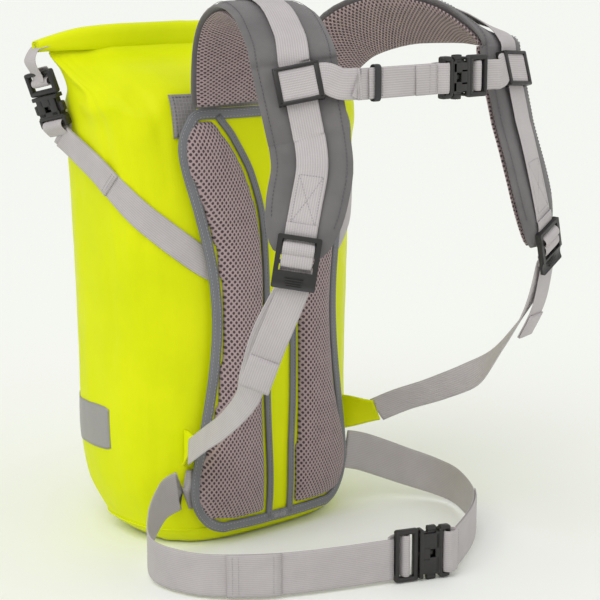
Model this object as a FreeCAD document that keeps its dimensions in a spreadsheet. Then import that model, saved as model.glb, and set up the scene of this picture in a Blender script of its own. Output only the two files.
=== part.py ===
"""Roll-top waterproof backpack: closed bag, padded back panel, shoulder harness, sternum strap and hip belt.

Millimetres, +Z up. The back panel faces -Y, and the origin is on the ground under the bag's middle.
"left" is -X and "right" is +X, as seen by someone who looks at the back panel.
"""
import FreeCAD, Part
import math
import os
import Sketcher

from FreeCAD import Placement, Rotation, Vector

# ---------------------------------------------------------------- driving dimensions
SIZES = {
    # the closed bag
    "bag_width": 264.0, "bag_depth": 188.0, "body_height": 450.0, "wall": 1.5,
    # the rolled mouth
    "roll_length": 336.0, "roll_height": 27.0, "roll_thickness": 19.0, "roll_end_height": 12.0,
    "roll_bow": 20.0,
    "stiffener_length": 150.0, "stiffener_height": 15.0, "stiffener_thickness": 1.2,
    # the padded back panel
    "panel_top": 404.0, "panel_bottom": 12.0, "panel_lift": 2.4, "panel_thickness": 4.0,
    "pad_thickness": 11.0,
    "binding_width": 9.0, "binding_thickness": 3.0, "piping_radius": 2.2,
    "band_height": 38.0, "band_length": 200.0, "band_rise": 13.0,
    "board_width": 170.0, "board_height": 330.0, "board_thickness": 1.5,
    # the shoulder straps
    "strap_width": 68.0, "strap_thickness": 9.0, "lining_thickness": 4.0,
    # webbing
    "webbing_width": 25.0, "belt_width": 38.0, "webbing_thickness": 1.6,
    # buckles, sliders and ladder locks
    "rail": 5.0, "buckle_thickness": 9.0, "female_length": 30.0, "male_length": 22.0,
    "shell_wall": 1.8, "prong_length": 20.0, "prong_thickness": 3.0, "slot": 4.6,
    "slider_length": 30.0, "slider_plate": 2.0, "slider_channel": 2.8,
    "lock_length": 42.0, "lock_thickness": 5.0, "lock_setback": 14.0, "gap": 0.4,
    # where the straps are joined to the bag
    "side_strap_height": 268.0, "tab_height": 96.0, "belt_anchor_height": 56.0, "belt_rest_height": 21.0,
    "sternum_height": 438.0, "patch_height": 42.0, "patch_bottom": 84.0,
}

doc = FreeCAD.newDocument("RollTopBackpack")
sheet = doc.addObject("Spreadsheet::Sheet", "Sizes")
for row, (alias, value) in enumerate(SIZES.items(), start=1):
    sheet.set(f"A{row}", alias)
    sheet.set(f"B{row}", str(value))
    sheet.setAlias(f"B{row}", alias)
doc.recompute()

PARTS = []


def size(alias):
    """A driving dimension, read back from the sheet."""
    return float(getattr(sheet, alias))


def keep(obj, label):
    """Name a sub-part and put it on the list of pieces to export."""
    obj.Label = label
    PARTS.append(obj)
    return obj


# ---------------------------------------------------------------- curves and ribbons
def spline_point(points, place):
    """Catmull-Rom point at place, counted in spans from the first point."""
    last = len(points) - 1
    span = min(int(place), last - 1)
    part = place - span
    before = points[max(span - 1, 0)]
    start, end = points[span], points[span + 1]
    after = points[min(span + 2, last)]
    result = []
    for a, b, c, d in zip(before, start, end, after):
        result.append(b + 0.5 * part * ((c - a) + part * ((2 * a - 5 * b + 4 * c - d)
                                                          + part * (3 * (b - c) + d - a))))
    return result


def resample(points, per_span):
    """The smooth curve through the points, as a denser list."""
    count = (len(points) - 1) * per_span
    return [spline_point(points, step / per_span) for step in range(count + 1)]


def tangents(points):
    """Unit direction of travel at each point."""
    last = len(points) - 1
    return [(points[min(i + 1, last)] - points[max(i - 1, 0)]).normalize() for i in range(last + 1)]


def loft(sections, ruled=True):
    """A solid through closed outlines, each a list of points in the same order."""
    wires = [Part.makePolygon(section + section[:1]) for section in sections]
    return Part.makeLoft(wires, True, ruled)


def strip(points, outward, width, thickness, lift=0.0):
    """Flat strap along points. outward is the face direction at each point, and lift moves it that way."""
    sections = []
    for point, along, face in zip(points, tangents(points), outward):
        across = along.cross(face).normalize()
        normal = across.cross(along).normalize()
        side = across * (width / 2)
        low = point + normal * lift
        high = point + normal * (lift + thickness)
        sections.append([low - side, low + side, high + side, high - side])
    return loft(sections)


def feature(label, shape):
    """A sub-part whose shape is worked out from the sheet's sizes."""
    obj = doc.addObject("Part::Feature", label)
    obj.Shape = shape
    return keep(obj, label)


def mirrored(points, side):
    """Points or directions of the right-hand side, for side +1, or their mirror image, for side -1."""
    return [Vector(side * p.x, p.y, p.z) for p in points]


# ---------------------------------------------------------------- the bag's outer surface
# share of body height, share of half width, and shares of half depth at the back wall and at the front wall
PROFILE = [
    (0.000, 0.80, -0.93, 0.34), (0.030, 0.90, -0.97, 0.58), (0.100, 0.97, -1.00, 0.86), (0.200, 1.00, -1.00, 0.98),
    (0.350, 1.00, -1.00, 1.00), (0.560, 1.01, -1.00, 1.00), (0.750, 1.04, -0.98, 0.96), (0.860, 1.09, -0.94, 0.86),
    (0.930, 1.13, -0.82, 0.72), (0.970, 1.16, -0.46, 0.56), (1.000, 1.18, 0.06, 0.34),
]
ROUNDNESS = 2.8


def bag_section(height):
    """Half width, half depth and middle of the bag's section at a height."""
    share = max(0.0, min(1.0, height / size("body_height")))
    for index in range(len(PROFILE) - 1):
        low, high = PROFILE[index][0], PROFILE[index + 1][0]
        if share <= high:
            place = index + (share - low) / (high - low)
            break
    _, wide, back, front = spline_point(PROFILE, place)
    half_depth = size("bag_depth") / 2
    return wide * size("bag_width") / 2, (front - back) / 2 * half_depth, (front + back) / 2 * half_depth


def bag_point(height, angle, lift=0.0):
    """Point of the bag's surface. The angle is in degrees about +Z from +X, and lift is along the normal."""
    half_width, half_depth, forward = bag_section(height)
    cosine, sine = math.cos(math.radians(angle)), math.sin(math.radians(angle))
    power = 2 / ROUNDNESS
    x = half_width * math.copysign(abs(cosine) ** power, cosine)
    y = half_depth * math.copysign(abs(sine) ** power, sine)
    normal = Vector(math.copysign(abs(x / half_width) ** (ROUNDNESS - 1), x) / half_width,
                    math.copysign(abs(y / half_depth) ** (ROUNDNESS - 1), y) / half_depth, 0).normalize()
    return Vector(x, y + forward, height) + normal * lift


def back_point(x, height, lift=0.0):
    """Point of the bag's back at a distance x from the middle, lifted towards -Y."""
    half_width, half_depth, forward = bag_section(height)
    reach = min(abs(x) / half_width, 0.97)
    y = forward - half_depth * (1 - reach ** ROUNDNESS) ** (1 / ROUNDNESS)
    return Vector(x, y - lift, height)


def shell_solid(inset):
    """The bag's outline, taken in by inset all round."""
    steps = 36
    heights = [share * size("body_height") for share in
               (0.0, 0.012, 0.03, 0.06, 0.1, 0.17, 0.25, 0.4, 0.56, 0.66, 0.75, 0.81, 0.86, 0.9, 0.93, 0.955, 0.975,
                0.99, 1.0)]
    wires = []
    for height in heights:
        level = min(max(height, inset), size("body_height") - inset)
        ring = [bag_point(level, 360 * step / steps, -inset) for step in range(steps)]
        curve = Part.BSplineCurve()
        curve.interpolate(ring, PeriodicFlag=True)
        wires.append(Part.Wire([curve.toShape()]))
    return Part.makeLoft(wires, True, True)


def build_bag():
    feature("bag_shell", shell_solid(0.0).cut(shell_solid(size("wall"))))


# ---------------------------------------------------------------- the rolled mouth
def roll_foot():
    """Middle of the roll's underside."""
    return Vector(0, bag_section(size("body_height"))[2], size("body_height") + size("gap"))


def bound_box(name, lengths, corner):
    """Part::Box whose three sizes and corner are expressions on the sheet."""
    box = doc.addObject("Part::Box", name)
    for side, expression in zip(("Length", "Width", "Height"), lengths):
        box.setExpression(side, expression)
    for axis, expression in zip("xyz", corner):
        box.setExpression(f"Placement.Base.{axis}", expression)
    return box


def centred_box(name, lengths, centre=("0", "0", "0")):
    """Part::Box round a centre, all sizes being expressions."""
    corner = [f"({middle}) - ({length}) / 2" for middle, length in zip(centre, lengths)]
    return bound_box(name, lengths, corner)


def rounded(name, base, radius, edges):
    """Part::Fillet on the listed edges of base."""
    doc.recompute()
    fillet = doc.addObject("Part::Fillet", name)
    fillet.Base = base
    fillet.Edges = [(edge, radius, radius) for edge in edges]
    return fillet


def edges_along(obj, axis, longer_than=0.0):
    """Numbers of an object's straight edges that run along an axis."""
    doc.recompute()
    found = []
    for number, edge in enumerate(obj.Shape.Edges, start=1):
        direction = edge.tangentAt(edge.FirstParameter)
        if abs(abs(direction.dot(axis)) - 1) < 1e-6 and edge.Length > longer_than:
            found.append(number)
    return found


def boolean(kind, name, base, tools):
    """Chain of Part::Cut or Part::Fuse objects over the tools."""
    result = base
    for number, tool in enumerate(tools):
        step = doc.addObject(kind, f"{name}_{number}")
        step.Base = result
        step.Tool = tool
        result = step
    return result


def roll_section(x, taken_in=0.0):
    """Outline of the roll across X: its top slopes down towards the two ends."""
    share = max(0.0, (abs(x) - 78.0) / (size("roll_length") / 2 - 78.0)) ** 2.2
    height = size("roll_height") - share * (size("roll_height") - size("roll_end_height")) - 2 * taken_in
    half = size("roll_thickness") / 2 * (1 - 0.25 * share) - taken_in
    corner = min(half, height / 2) * 0.7
    bow = size("roll_bow") * (2 * x / size("roll_length")) ** 2
    foot = roll_foot() + Vector(x, bow, taken_in)
    ring = []
    for right, top in ((1, 0), (1, 1), (-1, 1), (-1, 0)):
        middle = foot + Vector(0, right * (half - corner), corner if not top else height - corner)
        first = {(1, 0): -90, (1, 1): 0, (-1, 1): 90, (-1, 0): 180}[(right, top)]
        for step in range(4):
            turn = math.radians(first + 30 * step)
            ring.append(middle + Vector(0, corner * math.cos(turn), corner * math.sin(turn)))
    return ring


def build_roll():
    half = size("roll_length") / 2
    stations = [half * (step / 12 - 1) for step in range(25)]
    roll = loft([roll_section(x) for x in stations])
    middle = roll_foot() + Vector(0, 0, size("roll_height") / 2)
    lengths = Vector(size("stiffener_length"), size("stiffener_thickness"), size("stiffener_height"))
    room = lengths + Vector(1, 1, 1) * (2 * size("gap"))
    slit = Part.makeBox(room.x, room.y, room.z, middle - room / 2)
    feature("roll_top", roll.cut(slit))

    body = doc.addObject("PartDesign::Body", "roll_stiffener_body")
    sketch = body.newObject("Sketcher::SketchObject", "stiffener_outline")
    plane = [o for o in body.Origin.OriginFeatures if o.Role == "XZ_Plane"][0]
    sketch.AttachmentSupport = [(plane, "")]
    sketch.MapMode = "FlatFace"
    rectangle(sketch, "Sizes.stiffener_length", "Sizes.stiffener_height")
    pad(body, sketch, "Sizes.stiffener_thickness")
    body.Placement = Placement(middle, Rotation())
    keep(body, "roll_stiffener")


def rectangle(sketch, width, height):
    """Centred rectangle whose two sizes are bound to the sheet."""
    corners = [Vector(-10, -5, 0), Vector(10, -5, 0), Vector(10, 5, 0), Vector(-10, 5, 0)]
    for number in range(4):
        sketch.addGeometry(Part.LineSegment(corners[number], corners[(number + 1) % 4]), False)
    rules = [Sketcher.Constraint("Coincident", n, 2, (n + 1) % 4, 1) for n in range(4)]
    rules += [Sketcher.Constraint("Horizontal", 0), Sketcher.Constraint("Horizontal", 2),
              Sketcher.Constraint("Vertical", 1), Sketcher.Constraint("Vertical", 3),
              Sketcher.Constraint("Symmetric", 0, 1, 1, 2, -1, 1)]
    sketch.addConstraint(rules)
    across = sketch.addConstraint(Sketcher.Constraint("DistanceX", 0, 1, 0, 2, 20))
    upward = sketch.addConstraint(Sketcher.Constraint("DistanceY", 1, 1, 1, 2, 10))
    sketch.setExpression(f"Constraints[{across}]", width)
    sketch.setExpression(f"Constraints[{upward}]", height)


def pad(body, sketch, length):
    """Pad a sketch evenly to both sides of its plane."""
    solid = body.newObject("PartDesign::Pad", f"{body.Name}_pad")
    solid.Profile = sketch
    solid.setExpression("Length", length)
    solid.Midplane = True
    return solid


# ---------------------------------------------------------------- the back panel
# share of the panel's height and its half width there
PANEL_EDGE = [(0.000, 60.0), (0.025, 80.0), (0.075, 92.0), (0.14, 93.0), (0.27, 84.0), (0.40, 76.0),
              (0.52, 73.0), (0.64, 77.0), (0.76, 87.0), (0.87, 98.0), (0.925, 100.0), (0.965, 94.0),
              (1.000, 82.0)]
# share of the panel's height and the distance from the middle to a pad's inner edge
PAD_EDGE = [(0.0, 10.0), (0.14, 10.0), (0.30, 12.5), (0.48, 13.0), (0.64, 14.0), (0.76, 18.0),
            (0.86, 30.0), (0.94, 47.0), (1.0, 62.0)]


def profile_value(rows, share):
    """Smooth value of a two-column profile at a share of its run."""
    for index in range(len(rows) - 1):
        if share <= rows[index + 1][0]:
            place = index + (share - rows[index][0]) / (rows[index + 1][0] - rows[index][0])
            return spline_point(rows, place)[1]
    return rows[-1][1]


def panel_height(share):
    return size("panel_bottom") + share * (size("panel_top") - size("panel_bottom"))


def panel_share(height):
    return (height - size("panel_bottom")) / (size("panel_top") - size("panel_bottom"))


def slab(low_edge, high_edge, low_lift, thickness, shares, columns=12, crown=0.0):
    """Solid on the bag's back between two edges, given as functions of the height's share."""
    sections = []
    for share in shares:
        height = panel_height(share)
        start, end = low_edge(share), high_edge(share)
        inner, outer = [], []
        for column in range(columns + 1):
            part = column / columns
            x = start + (end - start) * part
            rise = thickness + crown * math.sin(math.pi * part) ** 0.6
            inner.append(back_point(x, height, low_lift))
            outer.append(back_point(x, height, low_lift + rise))
        sections.append(inner + outer[::-1])
    return loft(sections)


def panel_edge(share):
    return profile_value(PANEL_EDGE, share)


def build_panel():
    shares = [0, 0.012, 0.025, 0.05, 0.075, 0.14, 0.27, 0.4, 0.52, 0.64, 0.76, 0.87, 0.925, 0.965, 1]
    backing = slab(lambda s: -panel_edge(s), panel_edge, size("panel_lift"), size("panel_thickness"), shares, 20)
    feature("panel_backing", backing)
    face = size("panel_lift") + size("panel_thickness")
    inset = size("binding_width") + 3 * size("gap")
    pad_shares = [0.035, 0.05, 0.075, 0.14, 0.27, 0.4, 0.52, 0.64, 0.76, 0.87, 0.925, 0.95, 0.97]
    for name, side in (("left", -1), ("right", 1)):
        def inner(share):
            return side * (profile_value(PAD_EDGE, share) + 2 * size("piping_radius"))

        def outer(share):
            return side * (panel_edge(share) - inset)

        soft = slab(inner, outer, face + size("gap"), 2.5, pad_shares, 10, size("pad_thickness") - 2.5)
        feature(f"{name}_pad", soft)
        build_binding(name, side, face)
        build_piping(name, side, face)


def build_binding(name, side, face):
    """Flat binding round one half of the panel's outline, from the middle of its foot to its top."""
    half = size("binding_width") / 2
    route = [(0, 0.0), (30, 0.0), (55, 0.0)]
    route += [(panel_edge(share), share) for share in
              (0.012, 0.03, 0.075, 0.14, 0.27, 0.4, 0.52, 0.64, 0.76, 0.87, 0.925, 0.965)]
    route += [(80, 1.0), (55, 1.0), (28, 1.0), (0, 1.0)]
    points, outward = [], []
    for x, share in route:
        height = panel_height(share)
        height += half if share == 0.0 else -half if share == 1.0 else 0
        reach = x - half if 0 < share < 1 else x
        points.append(back_point(side * reach, height, face + 2 * size("gap")))
        outward.append(Vector(side * 0.004 * reach, -1, 0).normalize())
    feature(f"{name}_panel_binding", strip(points, outward, size("binding_width"), size("binding_thickness")))


def build_piping(name, side, face):
    """Raised piping along a pad's inner edge."""
    radius = size("piping_radius")
    shares = [0.035, 0.08, 0.14, 0.22, 0.30, 0.39, 0.48, 0.56, 0.64, 0.70, 0.76, 0.81, 0.86, 0.90, 0.94, 0.965]
    sections = []
    for share in shares:
        x = side * (profile_value(PAD_EDGE, share) + radius)
        centre = back_point(x, panel_height(share), face + radius)
        ring = [centre + Vector(math.cos(math.pi * k / 4), math.sin(math.pi * k / 4), 0) * (radius * 0.9)
                for k in range(8)]
        sections.append(ring)
    feature(f"{name}_pad_piping", loft(sections))


# ---------------------------------------------------------------- moulded hardware
def frame_at(origin, along, face):
    """Placement whose X runs along a strap and whose Z points out of its face."""
    x_axis = Vector(along).normalize()
    y_axis = Vector(face).cross(x_axis).normalize()
    return Placement(origin, Rotation(x_axis, y_axis, x_axis.cross(y_axis), "XYZ"))


def finish_piece(obj, label, place):
    obj.Placement = place
    return keep(obj, label)


def build_buckle(prefix, webbing, place):
    """Side-release buckle. X runs from the socket half to the pronged half, and the mouth is at X = 0."""
    webbing = f"Sizes.{webbing}"
    width = f"({webbing} + 2 * Sizes.rail)"
    length, thick, wall = "Sizes.female_length", "Sizes.buckle_thickness", "Sizes.shell_wall"
    inner = f"({thick} - 2 * {wall})"
    shell = bound_box(f"{prefix}_shell", (length, width, thick), (f"-{length}", f"-{width} / 2", f"-{thick} / 2"))
    shell = rounded(f"{prefix}_shell_rounded", shell, 1.4, edges_along(shell, Vector(1, 0, 0)))
    cavity = bound_box(f"{prefix}_cavity", (f"{length} - 8.5", f"{width} - 5", inner),
                       (f"8.5 - {length}", f"2.5 - {width} / 2", f"-{inner} / 2"))
    windows = bound_box(f"{prefix}_windows", ("13.5", f"{width} + 2", inner),
                        ("-18.5", f"-{width} / 2 - 1", f"-{inner} / 2"))
    slot = bound_box(f"{prefix}_strap_slot", ("4", f"{webbing} + 1.5", f"{thick} + 2"),
                     (f"3 - {length}", f"-{webbing} / 2 - 0.75", f"-{thick} / 2 - 1"))
    view = bound_box(f"{prefix}_view", ("10", "7", thick), ("-17", "-3.5", "0"))
    finish_piece(boolean("Part::Cut", f"{prefix}_socket", shell, [cavity, windows, slot, view]),
                 f"{prefix}_buckle_female", place)

    frame = bound_box(f"{prefix}_frame", ("Sizes.male_length", width, f"{thick} - 3"),
                      ("Sizes.gap", f"-{width} / 2", f"1.5 - {thick} / 2"))
    frame = rounded(f"{prefix}_frame_rounded", frame, 1.2, edges_along(frame, Vector(1, 0, 0)))
    slots = [bound_box(f"{prefix}_slot_{n}", ("Sizes.slot", f"{webbing} + 1.5", thick),
                       (f"{start} + Sizes.gap", f"-{webbing} / 2 - 0.75", f"-{thick} / 2"))
             for n, start in enumerate((5.0, 13.5))]
    guide = bound_box(f"{prefix}_guide", ("16", "5", f"{inner} - 1"), ("-15", "-2.5", f"0.5 - {inner} / 2"))
    frame = boolean("Part::Cut", f"{prefix}_slotted", frame, slots)
    finish_piece(boolean("Part::Fuse", f"{prefix}_male", frame, [guide]), f"{prefix}_buckle_male", place)

    for number, hand in ((1, "-1"), (2, "1")):
        reach = f"({width} / 2 - 6)"
        arm = centred_box(f"{prefix}_arm_{number}", ("Sizes.prong_length", "Sizes.prong_thickness", f"{inner} - 1"),
                          ("-Sizes.prong_length / 2", f"{hand} * {reach}", "0"))
        catch = centred_box(f"{prefix}_catch_{number}", ("8", "6", f"{inner} - 1"),
                            ("-12", f"{hand} * ({reach} + 3.6)", "0"))
        finish_piece(boolean("Part::Fuse", f"{prefix}_prong_{number}", arm, [catch]),
                     f"{prefix}_buckle_prong_{number}", place)


def build_slider(prefix, place):
    """Sternum strap slider: the shoulder webbing runs through it along X, and the sternum strap crosses it."""
    plate, channel, length = "Sizes.slider_plate", "Sizes.slider_channel", "Sizes.slider_length"
    width = "(Sizes.webbing_width + 12)"
    height = f"({channel} + 2 * {plate})"
    block = centred_box(f"{prefix}_slider_block", (length, width, height))
    block = rounded(f"{prefix}_slider_rounded", block, 1.2, edges_along(block, Vector(1, 0, 0)))
    tunnel = centred_box(f"{prefix}_slider_tunnel", (f"{length} + 2", "Sizes.webbing_width + 1.4", channel))
    backs = [centred_box(f"{prefix}_slider_back_{n}", ("7", "Sizes.webbing_width + 1.4", height),
                         (str(x), "0", f"-{height} / 2")) for n, x in enumerate((-6.5, 6.5))]
    ribs = [centred_box(f"{prefix}_slider_rib_{n}", ("2", width, "1.6"), (str(x), "0", f"{height} / 2 + 0.7"))
            for n, x in enumerate((-14, 14))]
    hollow = boolean("Part::Cut", f"{prefix}_slider_hollow", block, [tunnel] + backs)
    finish_piece(boolean("Part::Fuse", f"{prefix}_slider", hollow, ribs), f"{prefix}_slider", place)


def build_lock(prefix, place):
    """Ladder lock: hangs from the shoulder webbing at X = 0 and grips the adjusting webbing on its bars."""
    length, thick = "Sizes.lock_length", "Sizes.lock_thickness"
    inside = "(Sizes.webbing_width + 1.6)"
    width = f"({inside} + 8)"
    block = bound_box(f"{prefix}_lock_block", (length, width, thick), ("-3.5", f"-{width} / 2", f"-{thick} / 2"))
    block = rounded(f"{prefix}_lock_rounded", block, 1.6, edges_along(block, Vector(0, 0, 1)))
    slots = [bound_box(f"{prefix}_lock_slot_{n}", (str(run), inside, f"{thick} + 2"),
                       (str(start), f"-{inside} / 2", f"-{thick} / 2 - 1"))
             for n, (start, run) in enumerate(((0.2, 6.0), (9.5, 7.0), (19.5, 5.0)))]
    dish = doc.addObject("Part::Cylinder", f"{prefix}_lock_dish")
    dish.setExpression("Radius", "12")
    dish.setExpression("Height", width)
    dish.setExpression("Placement.Base.x", f"{length} - 9")
    dish.setExpression("Placement.Base.y", f"{width} / 2")
    dish.setExpression("Placement.Base.z", f"{thick} / 2 + 9.4")
    dish.Placement.Rotation = Rotation(Vector(1, 0, 0), 90)
    finish_piece(boolean("Part::Cut", f"{prefix}_lock", block, slots + [dish]), f"{prefix}_ladder_lock", place)


# ---------------------------------------------------------------- the side straps that hold the roll down
def side_buckle_place(side):
    """Mouth of a side buckle, beside the bag's shoulder."""
    origin = Vector(side * 160.5, 34, 413)
    return frame_at(origin, Vector(side * 0.26, 0.16, 0.95), Vector(side, -0.25, -0.2))


def build_side_straps():
    thick = size("webbing_thickness")
    for name, side in (("left", -1), ("right", 1)):
        place = side_buckle_place(side)
        build_buckle(f"{name}_side", "webbing_width", place)
        # loop from the roll's end to the pronged half
        top = place.multVec(Vector(size("gap") + 13.5 + size("slot") / 2, 0, 0))
        end = roll_foot() + Vector(side * (size("roll_length") / 2 + size("gap")), 0, size("roll_end_height") / 2)
        loop = [end, end + Vector(side * 5, 0, -1), Vector(side * 176, top.y, 450), top + Vector(side * 2.2, 0, 8.5)]
        faces = [Vector(0, 0, 1), Vector(side * 0.5, 0, 0.8), Vector(side, 0, 0.2), Vector(side, 0, -0.2)]
        feature(f"{name}_roll_loop", strip(loop, faces, size("roll_thickness") * 0.6, thick))
        # strap from the socket half down to the edge of the back panel
        start = place.multVec(Vector(-size("female_length") - 7.0, 0, -thick / 2))
        stops = [(size("side_strap_height") + rise, turn, lift) for rise, turn, lift in
                 ((98, 5.0, 2.6), (80, -5.0, 1.2), (62, -17.0, 0.7), (44, -30.0, 0.6), (27, -43.0, 0.5),
                  (12, -54.0, 0.5), (0, -61.5, 0.4))]
        route = [start]
        faces = [Vector(side, -0.2, -0.1)]
        for height, turn, lift in stops:
            angle = turn if side > 0 else 180 - turn
            point = bag_point(height, angle, lift)
            route.append(point)
            faces.append((bag_point(height, angle, lift + 1) - point).normalize())
        path, outward = resample(route, 4), resample(faces, 4)
        path, outward = [Vector(*p) for p in path], [Vector(*f) for f in outward]
        feature(f"{name}_side_webbing", strip(path, outward, size("webbing_width"), thick))
        feature(f"{name}_side_webbing_tail",
                strip(path[2:11], outward[2:11], size("webbing_width"), thick, thick + 0.05))


# ---------------------------------------------------------------- shoulder straps and sternum strap
SLIDE_DIRECTION = Vector(0, -22, -70).normalize()
# middle line of each strap above and below the straight stretch that the slider runs on
ARCH = {
    "left": [(56, -93, 410), (57, -97, 432), (60, -107, 462), (66, -128, 485), (78, -166, 497), (93, -209, 491),
             (106, -242, 473)],
    "right": [(56, -93, 410), (57, -97, 430), (61, -108, 452), (68, -130, 471), (83, -168, 483), (101, -212, 481),
              (114, -244, 470)],
}
SLIDE_START = {"left": (113, -256, 462), "right": (120, -257, 462)}
STRAP_END = {
    "left": [(118, -286, 374), (127, -290, 350), (135, -293, 328), (140, -294, 308)],
    "right": [(122, -287, 368), (129, -291, 340), (139, -291, 312), (148, -288, 288)],
}
# direction across each strap where its slider runs, and how far its arch leans over the shoulder
ACROSS = {"left": Vector(0.77, 0.64, 0), "right": Vector(0.97, 0.25, 0)}
LEAN = {"left": 0.0, "right": 42.0}


def strap_route(name):
    """Control points of a strap's middle line, in right-hand coordinates."""
    start = Vector(*SLIDE_START[name])
    straight = [start + SLIDE_DIRECTION * (8 * step) for step in range(10)]
    return [Vector(*p) for p in ARCH[name]] + straight + [Vector(*p) for p in STRAP_END[name]]


def strap_line(name):
    """Points, and outward face directions, along a strap."""
    side = -1 if name == "left" else 1
    path = [Vector(*p) for p in resample(strap_route(name), 2)]
    ways = tangents(path)
    faces = []
    for number, way in enumerate(ways):
        turn = min(1.0, number / (2 * len(ARCH[name])))
        lean = math.radians(LEAN[name]) * math.sin(math.pi * turn)
        across = Vector(1, 0, 0) * (1 - turn) + ACROSS[name] * turn - Vector(0, 0, math.tan(lean))
        faces.append(way.cross(across).normalize())
    return mirrored(path, side), [Vector(side * f.x, f.y, f.z) for f in faces]


def cushion_strip(points, outward, low, high, widths, edge):
    """Strap with rounded long edges between two heights above its middle line."""
    sections = []
    for point, along, face, width in zip(points, tangents(points), outward, widths):
        across = along.cross(face).normalize()
        normal = across.cross(along).normalize()
        half = width / 2
        corner = (high - low) * edge
        outline = [(-half, low + corner), (-half + corner, low), (half - corner, low), (half, low + corner),
                   (half, high - corner), (half - corner, high), (-half + corner, high), (-half, high - corner)]
        sections.append([point + across * side + normal * up for side, up in outline])
    return loft(sections)


def build_harness():
    thick = size("webbing_thickness")
    top = size("strap_thickness") / 2
    for name, side in (("left", -1), ("right", 1)):
        path, faces = strap_line(name)
        last = len(path) - 1
        widths = [size("strap_width") * (1.05 - 0.12 * (number / last)) for number in range(last + 1)]
        widths[-3:] = [widths[-3] * 0.97, widths[-3] * 0.86, widths[-3] * 0.62]
        feature(f"{name}_shoulder_strap", cushion_strip(path, faces, -top, top, widths, 0.3))
        lining = [width - 8 for width in widths]
        feature(f"{name}_strap_lining",
                cushion_strip(path, faces, -top - size("lining_thickness"), -top, lining, 0.3))
        # webbing sewn at the top of the arch and near the foot, and free of the strap in between
        first, end = 6, last - 2
        lift = top + 0.05
        raised = []
        for number in range(first, end + 1):
            point, face = path[number], faces[number]
            share = min(1.0, (number - first) / 5, (end - number) / 5)
            raised.append(point + face * (lift + (size("slider_plate") + 0.7) * max(0.0, share)))
        feature(f"{name}_strap_webbing", strip(raised, faces[first:end + 1], size("webbing_width"), thick))
        build_lock(name, lock_place(name))
        build_slider(name, slider_place(name))


def lock_place(name):
    """Pivot of a ladder lock, which lies over the foot of its strap."""
    path, faces = strap_line(name)
    along = (path[-1] - path[-2]).normalize()
    lift = (size("strap_thickness") + size("lock_thickness")) / 2 + 2 * size("gap")
    return frame_at(path[-1] + faces[-1] * lift - along * size("lock_setback"), along, faces[-1])


def slider_place(name):
    """Middle of a slider, on the straight stretch of its strap."""
    side = -1 if name == "left" else 1
    start = Vector(*SLIDE_START[name])
    travel = (start.z - size("sternum_height")) / -SLIDE_DIRECTION.z
    middle = start + SLIDE_DIRECTION * travel
    face = SLIDE_DIRECTION.cross(ACROSS[name]).normalize()
    lift = size("strap_thickness") / 2 + 0.05 + size("slider_plate") + 0.7 + size("webbing_thickness") / 2
    face = Vector(side * face.x, face.y, face.z)
    return frame_at(Vector(side * middle.x, middle.y, middle.z) + face * lift, SLIDE_DIRECTION, face)


def build_sternum_strap():
    thick = size("webbing_thickness")
    lift = size("slider_channel") / 2 + size("slider_plate") + 0.5
    left, right = slider_place("left"), slider_place("right")
    middle = (left.Base + right.Base) / 2
    line = middle.y - 27
    height = middle.z
    buckle = frame_at(Vector(38, line - 1, height), Vector(1, 0, 0), Vector(0, -1, 0))
    build_buckle("sternum", "webbing_width", buckle)
    ends = {"left": 38 - size("female_length") - 1.5, "right": 38 + size("gap") + size("male_length") + 1.0}
    for name, place, side in (("left", left, -1), ("right", right, 1)):
        toward = 1 if place.Rotation.multVec(Vector(0, 1, 0)).x * side < 0 else -1
        on_plate = [place.multVec(Vector(0, toward * y, lift)) for y in (-18, -6, 6, 21)]
        face = place.Rotation.multVec(Vector(0, 0, 1))
        edge = on_plate[-1]
        level = Vector(edge.x - side * 24, line, height)
        settled = Vector(level.x - side * 6, line, height)
        end = Vector(ends[name], line, height)
        free = [Vector(edge.x - side * 12, (edge.y + line) / 2, height), level, settled, end]
        route = on_plate + free
        faces = [face] * 4 + [(face + Vector(0, -1.2, 0)).normalize()] + [Vector(0, -1, 0)] * 3
        path = [Vector(*p) for p in resample(route, 3)]
        outward = [Vector(*f) for f in resample(faces, 3)]
        feature(f"{name}_sternum_webbing", strip(path, outward, size("webbing_width"), thick))
    tail_start, keeper_at = ends["left"] - 1, -64.0
    tail_end = keeper_at - 7
    tail = [Vector(x, line - thick - 0.05, height)
            for x in (tail_start, (tail_start + tail_end) / 2, tail_end)]
    feature("sternum_webbing_tail", strip(tail, [Vector(0, -1, 0)] * 3, size("webbing_width"), thick))
    build_keeper("sternum_keeper", Vector(keeper_at, line - thick, height), "webbing_width")


def build_keeper(name, middle, webbing):
    """Elastic ring round two layers of webbing."""
    webbing = f"(Sizes.{webbing} + 1)"
    room = "(2 * Sizes.webbing_thickness + 0.4)"
    outer = centred_box(f"{name}_outer", ("7", f"{room} + 2.4", f"{webbing} + 2.4"))
    inner = centred_box(f"{name}_inner", ("9", room, webbing))
    finish_piece(boolean("Part::Cut", f"{name}_ring", outer, [inner]), name,
                 Placement(middle, Rotation()))


# ---------------------------------------------------------------- webbing from the ladder locks to the bag's foot
ADJUSTER = {
    "left": [(150, -270, 246), (147, -250, 210), (140, -228, 180),
             (129, -186, 148), (120, -146, 124), (113, -112, 103)],
    "right": [(150, -275, 232), (146, -250, 192), (138, -222, 158),
              (129, -180, 134), (120, -140, 116), (113, -112, 101)],
}


TAIL = {
    "left": [(156, -280, 238), (158, -262, 200)],
    "right": [(157, -278, 228), (154, -264, 198)],
}


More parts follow.
